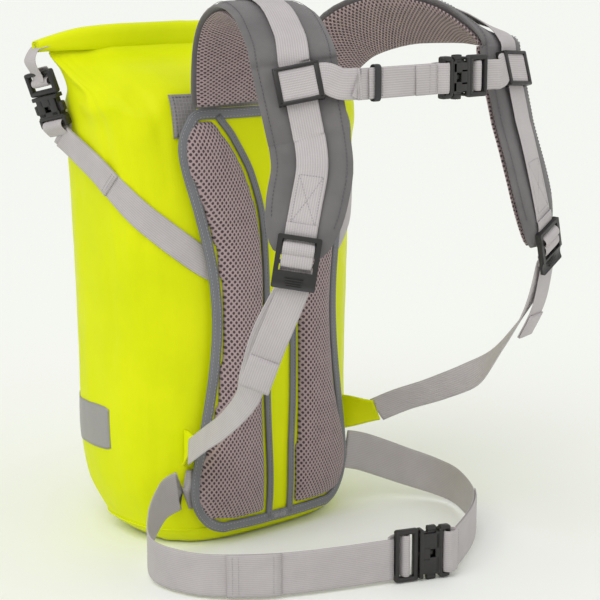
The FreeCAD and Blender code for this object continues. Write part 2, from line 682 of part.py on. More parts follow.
def build_adjusters():
    thick = size("webbing_thickness")
    for name, side in (("left", -1), ("right", 1)):
        lock = lock_place(name)
        back = -size("lock_thickness") / 2 - size("gap") - thick
        start = lock.multVec(Vector(21.5, 0, back - thick - 2 * size("gap")))
        below = lock.multVec(Vector(34, 0, back - 3 * thick))
        route = [start, below] + mirrored([Vector(*p) for p in ADJUSTER[name]], side)
        face = lock.Rotation.multVec(Vector(0, 0, 1))
        flat = Vector(side * 0.75, -0.2, 0.45)
        faces = [face, face] + [(face * (1 - share) + flat * share).normalize()
                                for share in (0.15, 0.35, 0.6, 0.85, 1.0, 1.0)]
        path = [Vector(*p) for p in resample(route, 3)]
        outward = [Vector(*f) for f in resample(faces, 3)]
        feature(f"{name}_adjusting_webbing", strip(path, outward, size("webbing_width"), thick))
        # free end, hanging between the thumb tab and the part that goes to the bag
        hang = [lock.multVec(Vector(*point)) for point in
                ((24, 0, back - 0.6), (33, 0, back - 0.9), (size("lock_length"), 0, back - 2.5))]
        hang += mirrored([Vector(*p) for p in TAIL[name]], side)
        path_down = [Vector(*p) for p in resample(hang, 3)]
        feature(f"{name}_adjusting_tail",
                strip(path_down, [face] * len(path_down), size("webbing_width"), thick))
        build_tab(name, side, path[-1], outward[-1])


def build_tab(name, side, end, face):
    """Welded anchor tab: its wide edge is on the bag beside the panel, its narrow edge holds the webbing."""
    height = size("tab_height")
    root = back_point(side * (panel_edge(panel_share(height)) + 7), height, 1.5)
    reach = root + (end - root) * 0.93
    sections = []
    for share, half in ((0.0, 16.0), (0.45, 14.5), (1.0, 13.5)):
        point = root + (reach - root) * share
        upright = Vector(0, 0, 1) * (1 - share)
        level = face.cross(end - root).normalize() * -side
        across = (upright + level * (share + 0.02)).normalize()
        if across.z < 0:
            across = across * -1
        normal = across.cross(end - root).normalize()
        sections.append([point - across * half - normal, point + across * half - normal,
                         point + across * half + normal, point - across * half + normal])
    feature(f"{name}_anchor_tab", loft(sections))


# ---------------------------------------------------------------- hip belt
BELT = {
    "left": [(122, -82, 50), (150, -101, 34), (170, -132, 22), (165, -172, 21), (143, -204, 21), (92, -237, 21)],
    "right": [(124, -83, 49), (155, -100, 35), (179, -128, 24), (177, -162, 21), (146, -213, 21), (104, -250, 21)],
}


def build_belt():
    thick = size("webbing_thickness")
    rest = size("belt_rest_height")
    mouth = Vector(14, -275, rest + 2.5)
    toward_male = Vector(-0.945, 0.327, 0)
    place = frame_at(mouth, toward_male, Vector(-0.327, -0.945, 0))
    build_buckle("hip", "belt_width", place)
    ends = {"left": place.multVec(Vector(size("gap") + size("male_length") + 1.0, 0, 0)),
            "right": place.multVec(Vector(-size("female_length") - 1.5, 0, 0))}
    for name, side in (("left", -1), ("right", 1)):
        height = size("belt_anchor_height")
        edge = panel_edge(panel_share(height))
        route = [back_point(side * (edge + 9), height, 6.0)] + mirrored([Vector(*p) for p in BELT[name]], side)
        route.append(Vector(ends[name].x, ends[name].y, rest))
        path = [Vector(*p) for p in resample(route, 5)]
        outward = [Vector(0, 0, 1).cross(way) * side for way in tangents(path)]
        feature(f"{name}_hip_webbing", strip(path, outward, size("belt_width"), thick, -thick / 2))
        part = slice(25, 30) if name == "left" else slice(25, 35)
        feature(f"{name}_hip_webbing_fold",
                strip(path[part], outward[part], size("belt_width"), thick, thick / 2 + 0.1))


# ---------------------------------------------------------------- sewn trim
def build_trim():
    """Reinforcing band across the panel's top, and the plain reflective patch low on the bag's left side."""
    band = size("band_height")
    low = size("panel_top") + size("band_rise") - band
    heights = [low + band * row / 8 for row in range(9)]
    sections = []
    for column in range(25):
        x = size("band_length") * (column / 24 - 0.5)
        inner = [back_point(x, height, 0.5) for height in heights]
        outer = [back_point(x, height, 1.9) for height in heights]
        sections.append(inner + outer[::-1])
    feature("top_band", loft(sections))
    angles = [134 + 49 * step / 12 for step in range(13)]
    level = size("patch_height") / 2 + size("patch_bottom")
    patch = [bag_point(level, angle, 1.2) for angle in angles]
    outward = [(bag_point(level, angle, 2) - bag_point(level, angle)).normalize() for angle in angles]
    feature("reflective_patch", strip(patch, outward, size("patch_height"), 0.6))
    board = doc.addObject("PartDesign::Body", "board_body")
    sketch = board.newObject("Sketcher::SketchObject", "board_outline")
    plane = [o for o in board.Origin.OriginFeatures if o.Role == "XZ_Plane"][0]
    sketch.AttachmentSupport = [(plane, "")]
    sketch.MapMode = "FlatFace"
    rectangle(sketch, "Sizes.board_width", "Sizes.board_height")
    pad(board, sketch, "Sizes.board_thickness")
    inside = back_point(size("board_width") / 2, panel_height(0.12)).y + size("wall") + 3
    board.Placement = Placement(Vector(0, inside, panel_height(0.5) - 8), Rotation())
    keep(board, "frame_board")


# ---------------------------------------------------------------- finish
def check_and_export():
    doc.recompute()
    for obj in doc.Objects:
        if "Invalid" in obj.State or "Error" in obj.State:
            raise RuntimeError(f"{obj.Label} failed: {obj.State}")
    for obj in PARTS:
        shape = obj.Shape
        if shape.isNull() or not shape.isValid() or not shape.Solids:
            raise RuntimeError(f"{obj.Label} has no valid solid")
    os.makedirs("parts", exist_ok=True)
    for obj in PARTS:
        obj.Shape.exportStep(f"parts/{obj.Label}.step")
        print(f"{obj.Label}: {obj.Shape.Volume / 1000:.1f} cm3")


build_bag()
build_roll()
build_panel()
build_side_straps()
build_harness()
build_sternum_strap()
build_adjusters()
build_belt()
build_trim()
check_and_export()
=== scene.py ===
"""Looks of the roll-top backpack: every soft piece, strap and buckle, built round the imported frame.

All sizes are in millimetres and become metres in one place, new_piece(). -Y is the back panel's side.
"""
import math

import bmesh
import bpy
from mathutils import Matrix, Vector, noise


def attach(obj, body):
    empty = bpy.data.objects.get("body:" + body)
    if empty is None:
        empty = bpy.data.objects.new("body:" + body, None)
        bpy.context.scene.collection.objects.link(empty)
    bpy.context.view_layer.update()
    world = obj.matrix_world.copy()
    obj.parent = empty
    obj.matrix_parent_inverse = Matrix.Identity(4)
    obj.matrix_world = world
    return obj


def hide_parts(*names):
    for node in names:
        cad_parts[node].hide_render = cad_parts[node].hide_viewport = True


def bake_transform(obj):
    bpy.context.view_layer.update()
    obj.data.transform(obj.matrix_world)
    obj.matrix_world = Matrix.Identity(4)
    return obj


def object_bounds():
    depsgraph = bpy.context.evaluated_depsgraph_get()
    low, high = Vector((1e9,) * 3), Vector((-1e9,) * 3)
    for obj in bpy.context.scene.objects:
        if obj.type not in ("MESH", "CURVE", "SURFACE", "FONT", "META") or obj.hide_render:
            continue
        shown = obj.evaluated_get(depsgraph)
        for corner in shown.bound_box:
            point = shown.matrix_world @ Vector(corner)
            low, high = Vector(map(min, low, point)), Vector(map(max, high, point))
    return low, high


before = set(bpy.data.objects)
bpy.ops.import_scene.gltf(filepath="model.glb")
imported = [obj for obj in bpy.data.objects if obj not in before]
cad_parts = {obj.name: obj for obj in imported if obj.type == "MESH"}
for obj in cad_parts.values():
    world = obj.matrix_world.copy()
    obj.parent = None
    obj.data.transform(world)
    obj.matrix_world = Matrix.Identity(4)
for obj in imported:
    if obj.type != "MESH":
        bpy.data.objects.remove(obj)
cad_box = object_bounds()
MM = 0.001

# ---------------------------------------------------------------- sizes shared with the CAD model
BAG_WIDTH, BAG_DEPTH, BODY_HEIGHT = 264.0, 188.0, 450.0
ROLL_LENGTH, ROLL_HEIGHT, ROLL_THICKNESS, ROLL_END, ROLL_BOW = 336.0, 27.0, 19.0, 12.0, 20.0
PANEL_TOP, PANEL_BOTTOM, PANEL_LIFT, PANEL_THICK, PAD_THICK = 404.0, 12.0, 2.4, 4.0, 11.0
BINDING = 9.0
STRAP_WIDTH, STRAP_THICK, LINING_THICK = 68.0, 9.0, 4.0
WEBBING, BELT, TAPE = 25.0, 38.0, 1.6
BUCKLE_THICK, FEMALE, MALE, RAIL, GAP = 9.0, 30.0, 22.0, 5.0, 0.4
LOCK_LENGTH, LOCK_THICK, LOCK_SETBACK = 42.0, 5.0, 14.0
SIDE_STRAP_HEIGHT, TAB_HEIGHT, ANCHOR_HEIGHT, BELT_REST = 268.0, 96.0, 56.0, 21.0

# share of body height, of half width, and of half depth at the back wall and at the front wall
PROFILE = [
    (0.000, 0.80, -0.93, 0.34), (0.030, 0.90, -0.97, 0.58), (0.100, 0.97, -1.00, 0.86), (0.200, 1.00, -1.00,
                                                                                         0.98),
    (0.350, 1.00, -1.00, 1.00), (0.560, 1.01, -1.00, 1.00), (0.750, 1.04, -0.98, 0.96), (0.860, 1.09, -0.94,
                                                                                         0.86),
    (0.930, 1.13, -0.82, 0.72), (0.970, 1.16, -0.46, 0.56), (1.000, 1.18, 0.06, 0.34),
]
ROUNDNESS = 2.8
PANEL_EDGE = [(0.000, 60.0), (0.025, 80.0), (0.075, 92.0), (0.14, 93.0), (0.27, 84.0), (0.40, 76.0),
              (0.52, 73.0), (0.64, 77.0), (0.76, 87.0), (0.87, 98.0), (0.925, 100.0), (0.965, 94.0),
              (1.000, 82.0)]
PAD_EDGE = [(0.0, 10.0), (0.14, 10.0), (0.30, 12.5), (0.48, 13.0), (0.64, 14.0), (0.76, 18.0),
            (0.86, 30.0), (0.94, 47.0), (1.0, 62.0)]
SLIDE_DIRECTION = Vector((0, -22, -70)).normalized()
ARCH = {
    "left": [(56, -93, 410), (57, -97, 432), (60, -107, 462), (66, -128, 485), (78, -166, 497),
             (93, -209, 491),
             (106, -242, 473)],
    "right": [(56, -93, 410), (57, -97, 430), (61, -108, 452), (68, -130, 471), (83, -168, 483),
              (101, -212, 481),
              (114, -244, 470)],
}
SLIDE_START = {"left": (113, -256, 462), "right": (120, -257, 462)}
STRAP_END = {
    "left": [(118, -286, 374), (127, -290, 350), (135, -293, 328), (140, -294, 308)],
    "right": [(122, -287, 368), (129, -291, 340), (139, -291, 312), (148, -288, 288)],
}
ACROSS = {"left": Vector((0.77, 0.64, 0)), "right": Vector((0.97, 0.25, 0))}
LEAN = {"left": 0.0, "right": 42.0}
ADJUSTER = {
    "left": [(150, -270, 246), (147, -250, 210), (140, -228, 180), (129, -186, 148), (120, -146, 124),
             (113, -112, 103)],
    "right": [(150, -275, 232), (146, -250, 192), (138, -222, 158), (129, -180, 134), (120, -140, 116),
              (113, -112, 101)],
}
TAIL = {
    "left": [(156, -280, 238), (158, -262, 200)],
    "right": [(157, -278, 228), (154, -264, 198)],
}
HIP = {
    "left": [(122, -82, 50), (150, -101, 34), (170, -132, 22), (165, -172, 21), (143, -204, 21),
             (92, -237, 21)],
    "right": [(124, -83, 49), (155, -100, 35), (179, -128, 24), (177, -162, 21), (146, -213, 21),
              (104, -250, 21)],
}
SIDES = (("left", -1), ("right", 1))


def axes_frame(origin, along, face):
    """Matrix, in millimetres, whose X runs along a strap and whose Z points out of its face."""
    x_axis = Vector(along).normalized()
    y_axis = Vector(face).cross(x_axis).normalized()
    z_axis = x_axis.cross(y_axis)
    matrix = Matrix((x_axis, y_axis, z_axis)).transposed().to_4x4()
    matrix.translation = origin
    return matrix


def lerp(a, b, share):
    return a + (b - a) * share


# ---------------------------------------------------------------- curves and surfaces
def spline_point(points, place):
    """Catmull-Rom point at place, counted in spans from the first point."""
    last = len(points) - 1
    span = min(int(place), last - 1)
    part = place - span
    before = points[max(span - 1, 0)]
    start, end = points[span], points[span + 1]
    after = points[min(span + 2, last)]
    result = []
    for a, b, c, d in zip(before, start, end, after):
        result.append(b + 0.5 * part * ((c - a) + part * ((2 * a - 5 * b + 4 * c - d)
                                                          + part * (3 * (b - c) + d - a))))
    return result


def resample(points, per_span):
    """The smooth curve through the points, as a denser list of vectors."""
    count = (len(points) - 1) * per_span
    return [Vector(spline_point(points, step / per_span)) for step in range(count + 1)]


def profile_row(rows, share):
    """Smooth values of a profile at a share of its run."""
    share = max(rows[0][0], min(rows[-1][0], share))
    for index in range(len(rows) - 1):
        if share <= rows[index + 1][0]:
            break
    place = index + (share - rows[index][0]) / (rows[index + 1][0] - rows[index][0])
    return spline_point(rows, place)[1:]


def bag_section(height):
    """Half width, half depth and middle of the bag's section at a height."""
    wide, back, front = profile_row(PROFILE, height / BODY_HEIGHT)
    half_depth = BAG_DEPTH / 2
    return wide * BAG_WIDTH / 2, (front - back) / 2 * half_depth, (front + back) / 2 * half_depth


def bag_point(height, angle, lift=0.0):
    """Point of the bag's surface. The angle is in degrees about +Z from +X."""
    half_width, half_depth, middle = bag_section(height)
    cosine, sine = math.cos(math.radians(angle)), math.sin(math.radians(angle))
    power = 2 / ROUNDNESS
    x = half_width * math.copysign(abs(cosine) ** power, cosine)
    y = half_depth * math.copysign(abs(sine) ** power, sine)
    normal = Vector((math.copysign(abs(x / half_width) ** (ROUNDNESS - 1), x) / half_width,
                     math.copysign(abs(y / half_depth) ** (ROUNDNESS - 1), y) / half_depth, 0)).normalized()
    return Vector((x, y + middle, height)) + normal * lift


def back_point(x, height, lift=0.0):
    """Point of the bag's back at a distance x from the middle, lifted towards -Y."""
    half_width, half_depth, middle = bag_section(height)
    reach = min(abs(x) / half_width, 0.97)
    return Vector((x, middle - half_depth * (1 - reach ** ROUNDNESS) ** (1 / ROUNDNESS) - lift, height))


def panel_height(share):
    return PANEL_BOTTOM + share * (PANEL_TOP - PANEL_BOTTOM)


def panel_edge(share):
    return profile_row(PANEL_EDGE, share)[0]


def tangents(points):
    last = len(points) - 1
    return [(points[min(i + 1, last)] - points[max(i - 1, 0)]).normalized() for i in range(last + 1)]


def mirrored(points, side):
    return [Vector((side * p[0], p[1], p[2])) for p in points]


def strap_line(name, per_span=4):
    """Points, and outward face directions, along a shoulder strap."""
    side = -1 if name == "left" else 1
    start = Vector(SLIDE_START[name])
    straight = [start + SLIDE_DIRECTION * (8 * step) for step in range(10)]
    path = resample([Vector(p) for p in ARCH[name]] + straight + [Vector(p) for p in STRAP_END[name]],
                    per_span)
    faces = []
    for number, way in enumerate(tangents(path)):
        turn = min(1.0, number / (per_span * len(ARCH[name])))
        lean = math.radians(LEAN[name]) * math.sin(math.pi * turn)
        across = Vector((1, 0, 0)).lerp(ACROSS[name], turn) - Vector((0, 0, math.tan(lean)))
        faces.append(way.cross(across).normalized())
    return mirrored(path, side), mirrored(faces, side)


# ---------------------------------------------------------------- mesh tools
def new_piece(name, vertices, faces, material, uvs=None, smooth=True):
    """Object from millimetre vertices. uvs are one (along, across) pair of metres for each vertex."""
    mesh = bpy.data.meshes.new(name)
    mesh.from_pydata([tuple(Vector(v) * MM) for v in vertices], [], faces)
    mesh.update()
    if uvs:
        layer = mesh.uv_layers.new(name="cloth")
        for loop in mesh.loops:
            layer.data[loop.index].uv = uvs[loop.vertex_index]
    bm = bmesh.new()
    bm.from_mesh(mesh)
    bmesh.ops.recalc_face_normals(bm, faces=bm.faces)
    bm.to_mesh(mesh)
    bm.free()
    mesh.polygons.foreach_set("use_smooth", [smooth] * len(mesh.polygons))
    mesh.materials.append(material)
    piece = bpy.data.objects.new(name, mesh)
    bpy.context.scene.collection.objects.link(piece)
    return piece


def tube_faces(rings, around, closed_ends=True):
    """Quads between rings of equal size, with a fan at each end."""
    faces = []
    for ring in range(rings - 1):
        for k in range(around):
            a, b = ring * around + k, ring * around + (k + 1) % around
            faces.append((a, b, b + around, a + around))
    if closed_ends:
        faces.append(tuple(range(around))[::-1])
        faces.append(tuple(range((rings - 1) * around, rings * around)))
    return faces


def ribbon(name, path, outward, width, material, thickness=TAPE, lift=0.0, columns=8, cup=0.0, twist=None):
    """Flat webbing with rounded selvedges. cup bows it across its width."""
    vertices, uvs = [], []
    length = 0.0
    for number, (point, along, face) in enumerate(zip(path, tangents(path), outward)):
        if number:
            length += (point - path[number - 1]).length
        across = along.cross(face).normalized()
        if twist:
            across = Matrix.Rotation(math.radians(twist[number]), 3, along) @ across
        normal = across.cross(along).normalized()
        half = thickness / 2
        outline = []
        for k in range(columns + 1):
            share = 2 * k / columns - 1
            outline.append((share * (width / 2 - half), half * (1 if abs(share) < 0.99 else 0.72), share))
        ring = [(s, h, c) for s, h, c in outline] + [(width / 2, 0.0, 1.0)]
        ring += [(s, -h, c) for s, h, c in outline[::-1]] + [(-width / 2, 0.0, -1.0)]
        for side, up, share in ring:
            bow = cup * (1 - share * share)
            vertices.append(point + across * side + normal * (lift + half + up + bow))
            uvs.append((length * MM, side * MM))
    return new_piece(name, vertices, tube_faces(len(path), 2 * columns + 4), material, uvs)


def cushion_band(name, path, outward, widths, low, high, material, edge=0.45, around=28, crown=0.0):
    """Padded band with a rounded section between two heights above its path."""
    vertices, uvs = [], []
    length = 0.0
    for number, (point, along, face, width) in enumerate(zip(path, tangents(path), outward, widths)):
        if number:
            length += (point - path[number - 1]).length
        across = along.cross(face).normalized()
        normal = across.cross(along).normalized()
        middle, half_height, half_width = (low + high) / 2, (high - low) / 2, width / 2
        for k in range(around):
            turn = 2 * math.pi * k / around
            c, s = math.cos(turn), math.sin(turn)
            side = half_width * math.copysign(abs(c) ** edge, c)
            up = half_height * math.copysign(abs(s) ** (edge + 0.25), s)
            rise = crown * max(0.0, s) * (1 - (side / half_width) ** 2)
            vertices.append(point + across * side + normal * (middle + up + rise))
            uvs.append((length * MM, side * MM))
    return new_piece(name, vertices, tube_faces(len(path), around), material, uvs)


def cord_tube(name, path, radius, material, around=8):
    """Round piping along a path."""
    vertices, uvs = [], []
    length = 0.0
    side = Vector((0, 0, 1)).cross(tangents(path)[0])
    side = side.normalized() if side.length > 0.1 else Vector((1, 0, 0))
    for number, (point, along) in enumerate(zip(path, tangents(path))):
        if number:
            length += (point - path[number - 1]).length
        side = (side - along * side.dot(along)).normalized()
        other = along.cross(side)
        for k in range(around):
            turn = 2 * math.pi * k / around
            vertices.append(point + (side * math.cos(turn) + other * math.sin(turn)) * radius)
            uvs.append((length * MM, radius * turn * MM))
    return new_piece(name, vertices, tube_faces(len(path), around), material, uvs)


def walk(path, step):
    """Evenly spaced (point, direction, share) along a path."""
    lengths = [0.0]
    for a, b in zip(path, path[1:]):
        lengths.append(lengths[-1] + (b - a).length)
    total, place, span = lengths[-1], step / 2, 0
    while place < total:
        while lengths[span + 1] < place:
            span += 1
        part = (place - lengths[span]) / max(lengths[span + 1] - lengths[span], 1e-9)
        yield path[span].lerp(path[span + 1], part), (path[span + 1] - path[span]).normalized(), span + part
        place += step


def stitches(name, lines, material, pitch=3.4, length=2.3, radius=0.34):
    """Rows of raised thread. Each line is (path, outward directions)."""
    vertices, faces = [], []
    for path, outward in lines:
        for point, along, place in walk(path, pitch):
            low = min(int(place), len(outward) - 2)
            face = outward[low].lerp(outward[low + 1], place - low).normalized()
            across = along.cross(face).normalized()
            base = len(vertices)
            for share, size in ((-0.5, 0.35), (-0.3, 1.0), (0.3, 1.0), (0.5, 0.35)):
                for k in range(5):
                    turn = 2 * math.pi * k / 5
                    offset = across * math.cos(turn) + face * (math.sin(turn) * 0.8)
                    dip = -radius * 0.8 if size < 1 else 0.0
                    vertices.append(point + along * (share * length) + offset * (radius * size) + face * dip)
            faces += [tuple(base + v for v in f) for f in tube_faces(4, 5)]
    return new_piece(name, vertices, faces, material)


def rounded_box(bm, centre, lengths, bevel, segments=3):
    """Add a box with rounded edges to a mesh being built."""
    matrix = Matrix.Translation(Vector(centre)) @ Matrix.Diagonal((*lengths, 1))
    made = bmesh.ops.create_cube(bm, size=1, matrix=matrix)
    edges = {edge for vertex in made["verts"] for edge in vertex.link_edges}
    bmesh.ops.bevel(bm, geom=list(edges), offset=min(bevel, min(lengths) * 0.49), segments=segments,
                    profile=0.5, affect="EDGES")


def moulding(name, boxes, place, material, bend=None):
    """Moulded plastic piece from rounded boxes (centre, lengths, bevel) in its own frame."""
    bm = bmesh.new()
    for centre, lengths, bevel in boxes:
        rounded_box(bm, centre, lengths, bevel)
    for vertex in bm.verts:
        if bend:
            vertex.co = bend(vertex.co)
        vertex.co = (place @ vertex.co) * MM
    mesh = bpy.data.meshes.new(name)
    bm.to_mesh(mesh)
    bm.free()
    mesh.polygons.foreach_set("use_smooth", [True] * len(mesh.polygons))
    mesh.materials.append(material)
    piece = bpy.data.objects.new(name, mesh)
    bpy.context.scene.collection.objects.link(piece)
    return piece


def fix(piece, body, slot, *nodes):
    """Ride a piece on a body and hide the CAD nodes that it stands for. The slot is not used."""
    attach(piece, body)
    if nodes:
        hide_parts(*nodes)
    return piece


# ---------------------------------------------------------------- materials
class Shader:
    """Small helper that wires one procedural material."""

    def __init__(self, name, color, roughness, **sockets):
        self.material = bpy.data.materials.new(name)
        self.material.use_nodes = True
        self.tree = self.material.node_tree
        self.surface = self.tree.nodes["Principled BSDF"]
        self.surface.inputs["Base Color"].default_value = (*color, 1)
        self.surface.inputs["Roughness"].default_value = roughness
        for socket, value in sockets.items():
            self.surface.inputs[socket.replace("_", " ")].default_value = value

    def node(self, kind, **values):
        made = self.tree.nodes.new(kind)
        for key, value in values.items():
            setattr(made, key, value)
        return made

    def link(self, source, target):
        self.tree.links.new(source, target)
        return target

    def coordinates(self, output="Object"):
        return self.node("ShaderNodeTexCoord").outputs[output]

    def uv(self):
        return self.node("ShaderNodeUVMap", uv_map="cloth").outputs["UV"]

    def split(self, vector):
        made = self.node("ShaderNodeSeparateXYZ")
        self.link(vector, made.inputs[0])
        return made.outputs

    def math(self, operation, first, second=None, third=None):
        made = self.node("ShaderNodeMath", operation=operation)
        for socket, value in zip(made.inputs, (first, second, third)):
            if value is None:
                continue
            if isinstance(value, (int, float)):
                socket.default_value = value
            else:
                self.link(value, socket)
        return made.outputs[0]

    def noise(self, vector, scale, detail=3.0, roughness=0.55):
        made = self.node("ShaderNodeTexNoise")
        made.inputs["Scale"].default_value = scale
        made.inputs["Detail"].default_value = detail
        made.inputs["Roughness"].default_value = roughness
        self.link(vector, made.inputs["Vector"])
        return made.outputs["Fac"]

    def ramp(self, value, low, high, first, second):
        made = self.node("ShaderNodeMapRange")
        for socket, number in zip(("From Min", "From Max", "To Min", "To Max"), (low, high, first, second)):
            made.inputs[socket].default_value = number
        self.link(value, made.inputs["Value"])
        return made.outputs["Result"]

    def mix(self, factor, first, second):
        made = self.node("ShaderNodeMix", data_type="RGBA")
        self.link(factor, made.inputs["Factor"])
        made.inputs[6].default_value = (*first, 1)
        made.inputs[7].default_value = (*second, 1)
        return made.outputs[2]

    def color(self, socket):
        self.link(socket, self.surface.inputs["Base Color"])

    def roughness(self, socket):
        self.link(socket, self.surface.inputs["Roughness"])

    def bump(self, height, strength, distance):
        """Add a layer of relief on top of what is there already."""
        made = self.node("ShaderNodeBump")
        made.inputs["Strength"].default_value = strength
        made.inputs["Distance"].default_value = distance
        self.link(height, made.inputs["Height"])
        normal = self.surface.inputs["Normal"]
        if normal.is_linked:
            self.link(normal.links[0].from_socket, made.inputs["Normal"])
        self.link(made.outputs["Normal"], normal)

    def wave(self, value, pitch, phase=0.0):
        """Sine of a coordinate in metres, from 0 to 1, with the pitch in millimetres."""
        scaled = self.math("MULTIPLY_ADD", value, 2 * math.pi / (pitch * MM), phase)
        return self.math("MULTIPLY_ADD", self.math("SINE", scaled), 0.5, 0.5)


YELLOW = (0.72, 0.82, 0.006)


def coated_fabric():
    """Fluorescent coated fabric: satin sheen, a very fine weave, soft creases."""
    shader = Shader("fluorescent_coated_fabric", YELLOW, 0.5, Specular_IOR_Level=0.10)
    place = shader.coordinates()
    broad = shader.noise(place, 9.0, 4.0)
    shader.color(shader.mix(shader.ramp(broad, 0.35, 0.7, 0.0, 1.0), (0.69, 0.775, 0.003),
                            (0.79, 0.845, 0.005)))
    shader.roughness(shader.ramp(shader.noise(place, 60.0, 3.0), 0.3, 0.7, 0.36, 0.5))
    x, y, z = shader.split(place)
    around = shader.math("ADD", x, y)
    weave = shader.math("MULTIPLY", shader.wave(around, 1.3), shader.wave(z, 1.1))
    shader.bump(weave, 0.10, 0.0002)
    shader.bump(shader.noise(place, 24.0, 5.0, 0.6), 0.16, 0.004)
    return shader.material


def air_mesh(name, from_uv):
    """Open spacer mesh: diamond cells between soft ribs, with painted shade darkening the holes."""
    shader = Shader(name, (0.30, 0.24, 0.24), 0.85, Sheen_Weight=0.25, Specular_IOR_Level=0.2)
    if from_uv:
        u, v, _ = shader.split(shader.uv())
    else:
        u, _, v = shader.split(shader.coordinates())
    pitch = 3.6
    slant = shader.math("MULTIPLY", v, 0.62)
    first = shader.wave(shader.math("ADD", u, slant), pitch)
    second = shader.wave(shader.math("SUBTRACT", u, slant), pitch)
    cell = shader.math("MULTIPLY", first, second)
    hole = shader.ramp(cell, 0.14, 0.42, 0.0, 1.0)
    thread = shader.math("MULTIPLY", shader.wave(v, 0.7), 0.25)
    tint = shader.noise(shader.coordinates(), 90.0, 2.0)
    # colour: the near-black second colour is painted shade in the holes; the noise adds random tone
    shade = shader.math("ADD", hole, shader.math("MULTIPLY", shader.math("SUBTRACT", tint, 0.5), 0.5))
    shader.color(shader.mix(shade, (0.47, 0.355, 0.36), (0.075, 0.052, 0.058)))
    height = shader.math("ADD", shader.math("SUBTRACT", 1.0, hole), thread)
    shader.bump(height, 0.75, 0.0011)
    return shader.material


def woven(name, light, dark, rib, pick, roughness=0.7, strength=0.5):
    """Webbing or tape: ribs along its length, crossed by fine picks, with painted shade in the grooves and
    random tone.
    """
    shader = Shader(name, light, roughness, Sheen_Weight=0.12, Specular_IOR_Level=0.3)
    along, across, _ = shader.split(shader.uv())
    ribs = shader.wave(across, rib)
    picks = shader.wave(shader.math("ADD", along, shader.math("MULTIPLY", ribs, 0.0004)), pick)
    relief = shader.math("ADD", shader.math("MULTIPLY", ribs, 0.65), shader.math("MULTIPLY", picks, 0.35))
    tint = shader.noise(shader.coordinates(), 45.0, 3.0)
    # colour: dark is a shaded copy of light, painted into the grooves by the relief; the noise adds random
    # tone
    shade = shader.math("ADD", shader.math("MULTIPLY", relief, 0.55), shader.math("MULTIPLY", tint, 0.45))
    shader.color(shader.mix(shader.ramp(shade, 0.2, 0.75, 0.0, 1.0), dark, light))
    shader.bump(relief, strength, 0.00035)
    return shader.material


def grid_webbing():
    """Reinforcing band with a raised square grid; a painted highlight on the raised lines and weave crests,
    painted shade between them.
    """
    shader = Shader("grid_webbing", (0.27, 0.25, 0.26), 0.7, Sheen_Weight=0.1)
    along, across, _ = shader.split(shader.uv())
    lines = shader.math("MAXIMUM", shader.wave(along, 3.1), shader.wave(across, 3.1))
    ridge = shader.ramp(lines, 0.80, 0.97, 0.0, 1.0)
    fine = shader.math("MULTIPLY", shader.wave(along, 0.9), shader.wave(across, 0.9))
    # colour follows the relief: painted highlight on the ridges, painted shade in the ground between
    shader.color(shader.mix(shader.math("ADD", shader.math("MULTIPLY", ridge, 0.7),
                                        shader.math("MULTIPLY", fine, 0.3)),
                            (0.235, 0.22, 0.225), (0.33, 0.31, 0.32)))
    shader.bump(shader.math("ADD", ridge, shader.math("MULTIPLY", fine, 0.3)), 0.6, 0.0006)
    return shader.material


def strap_cloth():
    """Dense dark twill of the shoulder straps."""
    shader = Shader("strap_twill", (0.17, 0.16, 0.165), 0.8, Sheen_Weight=0.2, Specular_IOR_Level=0.25)
    along, across, _ = shader.split(shader.uv())
    twill = shader.wave(shader.math("ADD", along, across), 1.1)
    cross = shader.wave(shader.math("SUBTRACT", along, across), 1.5)
    relief = shader.math("MULTIPLY_ADD", cross, 0.4, twill)
    tint = shader.noise(shader.coordinates(), 30.0, 3.0)
    # colour: mostly random tone from the noise, partly painted shade in the twill grooves from the relief
    shade = shader.math("MULTIPLY_ADD", tint, 0.7, shader.math("MULTIPLY", relief, 0.25))
    shader.color(shader.mix(shader.ramp(shade, 0.25, 0.8, 0.0, 1.0), (0.118, 0.110, 0.113),
                            (0.203, 0.190, 0.194)))
    shader.bump(relief, 0.35, 0.0003)
    shader.bump(shader.noise(shader.coordinates(), 40.0, 3.0), 0.12, 0.002)
    return shader.material


def acetal():
    """Black moulded acetal with a fine spark-eroded texture."""
    shader = Shader("black_acetal", (0.016, 0.015, 0.015), 0.38, Specular_IOR_Level=0.5)
    place = shader.coordinates()
    shader.roughness(shader.ramp(shader.noise(place, 220.0, 3.0), 0.3, 0.7, 0.30, 0.50))
    shader.color(shader.mix(shader.noise(place, 70.0, 2.0), (0.012, 0.011, 0.011), (0.024, 0.022, 0.022)))
    shader.bump(shader.noise(place, 2600.0, 2.0), 0.10, 0.0001)
    return shader.material


def reflective():
    """Silver-grey reflective film with a fine bead grain."""
    shader = Shader("reflective_film", (0.33, 0.32, 0.31), 0.42, Metallic=0.25)
    place = shader.coordinates()
    grain = shader.noise(place, 1500.0, 2.0)
    shader.color(shader.mix(grain, (0.28, 0.27, 0.26), (0.40, 0.39, 0.38)))
    shader.bump(grain, 0.15, 0.0001)
    return shader.material


def thread(name, color):
    """Twisted sewing thread."""
    shader = Shader(name, color, 0.6, Sheen_Weight=0.1)
    place = shader.coordinates()
    dark = tuple(c * 0.7 for c in color)
    shader.color(shader.mix(shader.noise(place, 900.0, 2.0), dark, color))
    shader.bump(shader.noise(place, 1800.0, 2.0), 0.2, 0.0001)
    return shader.material


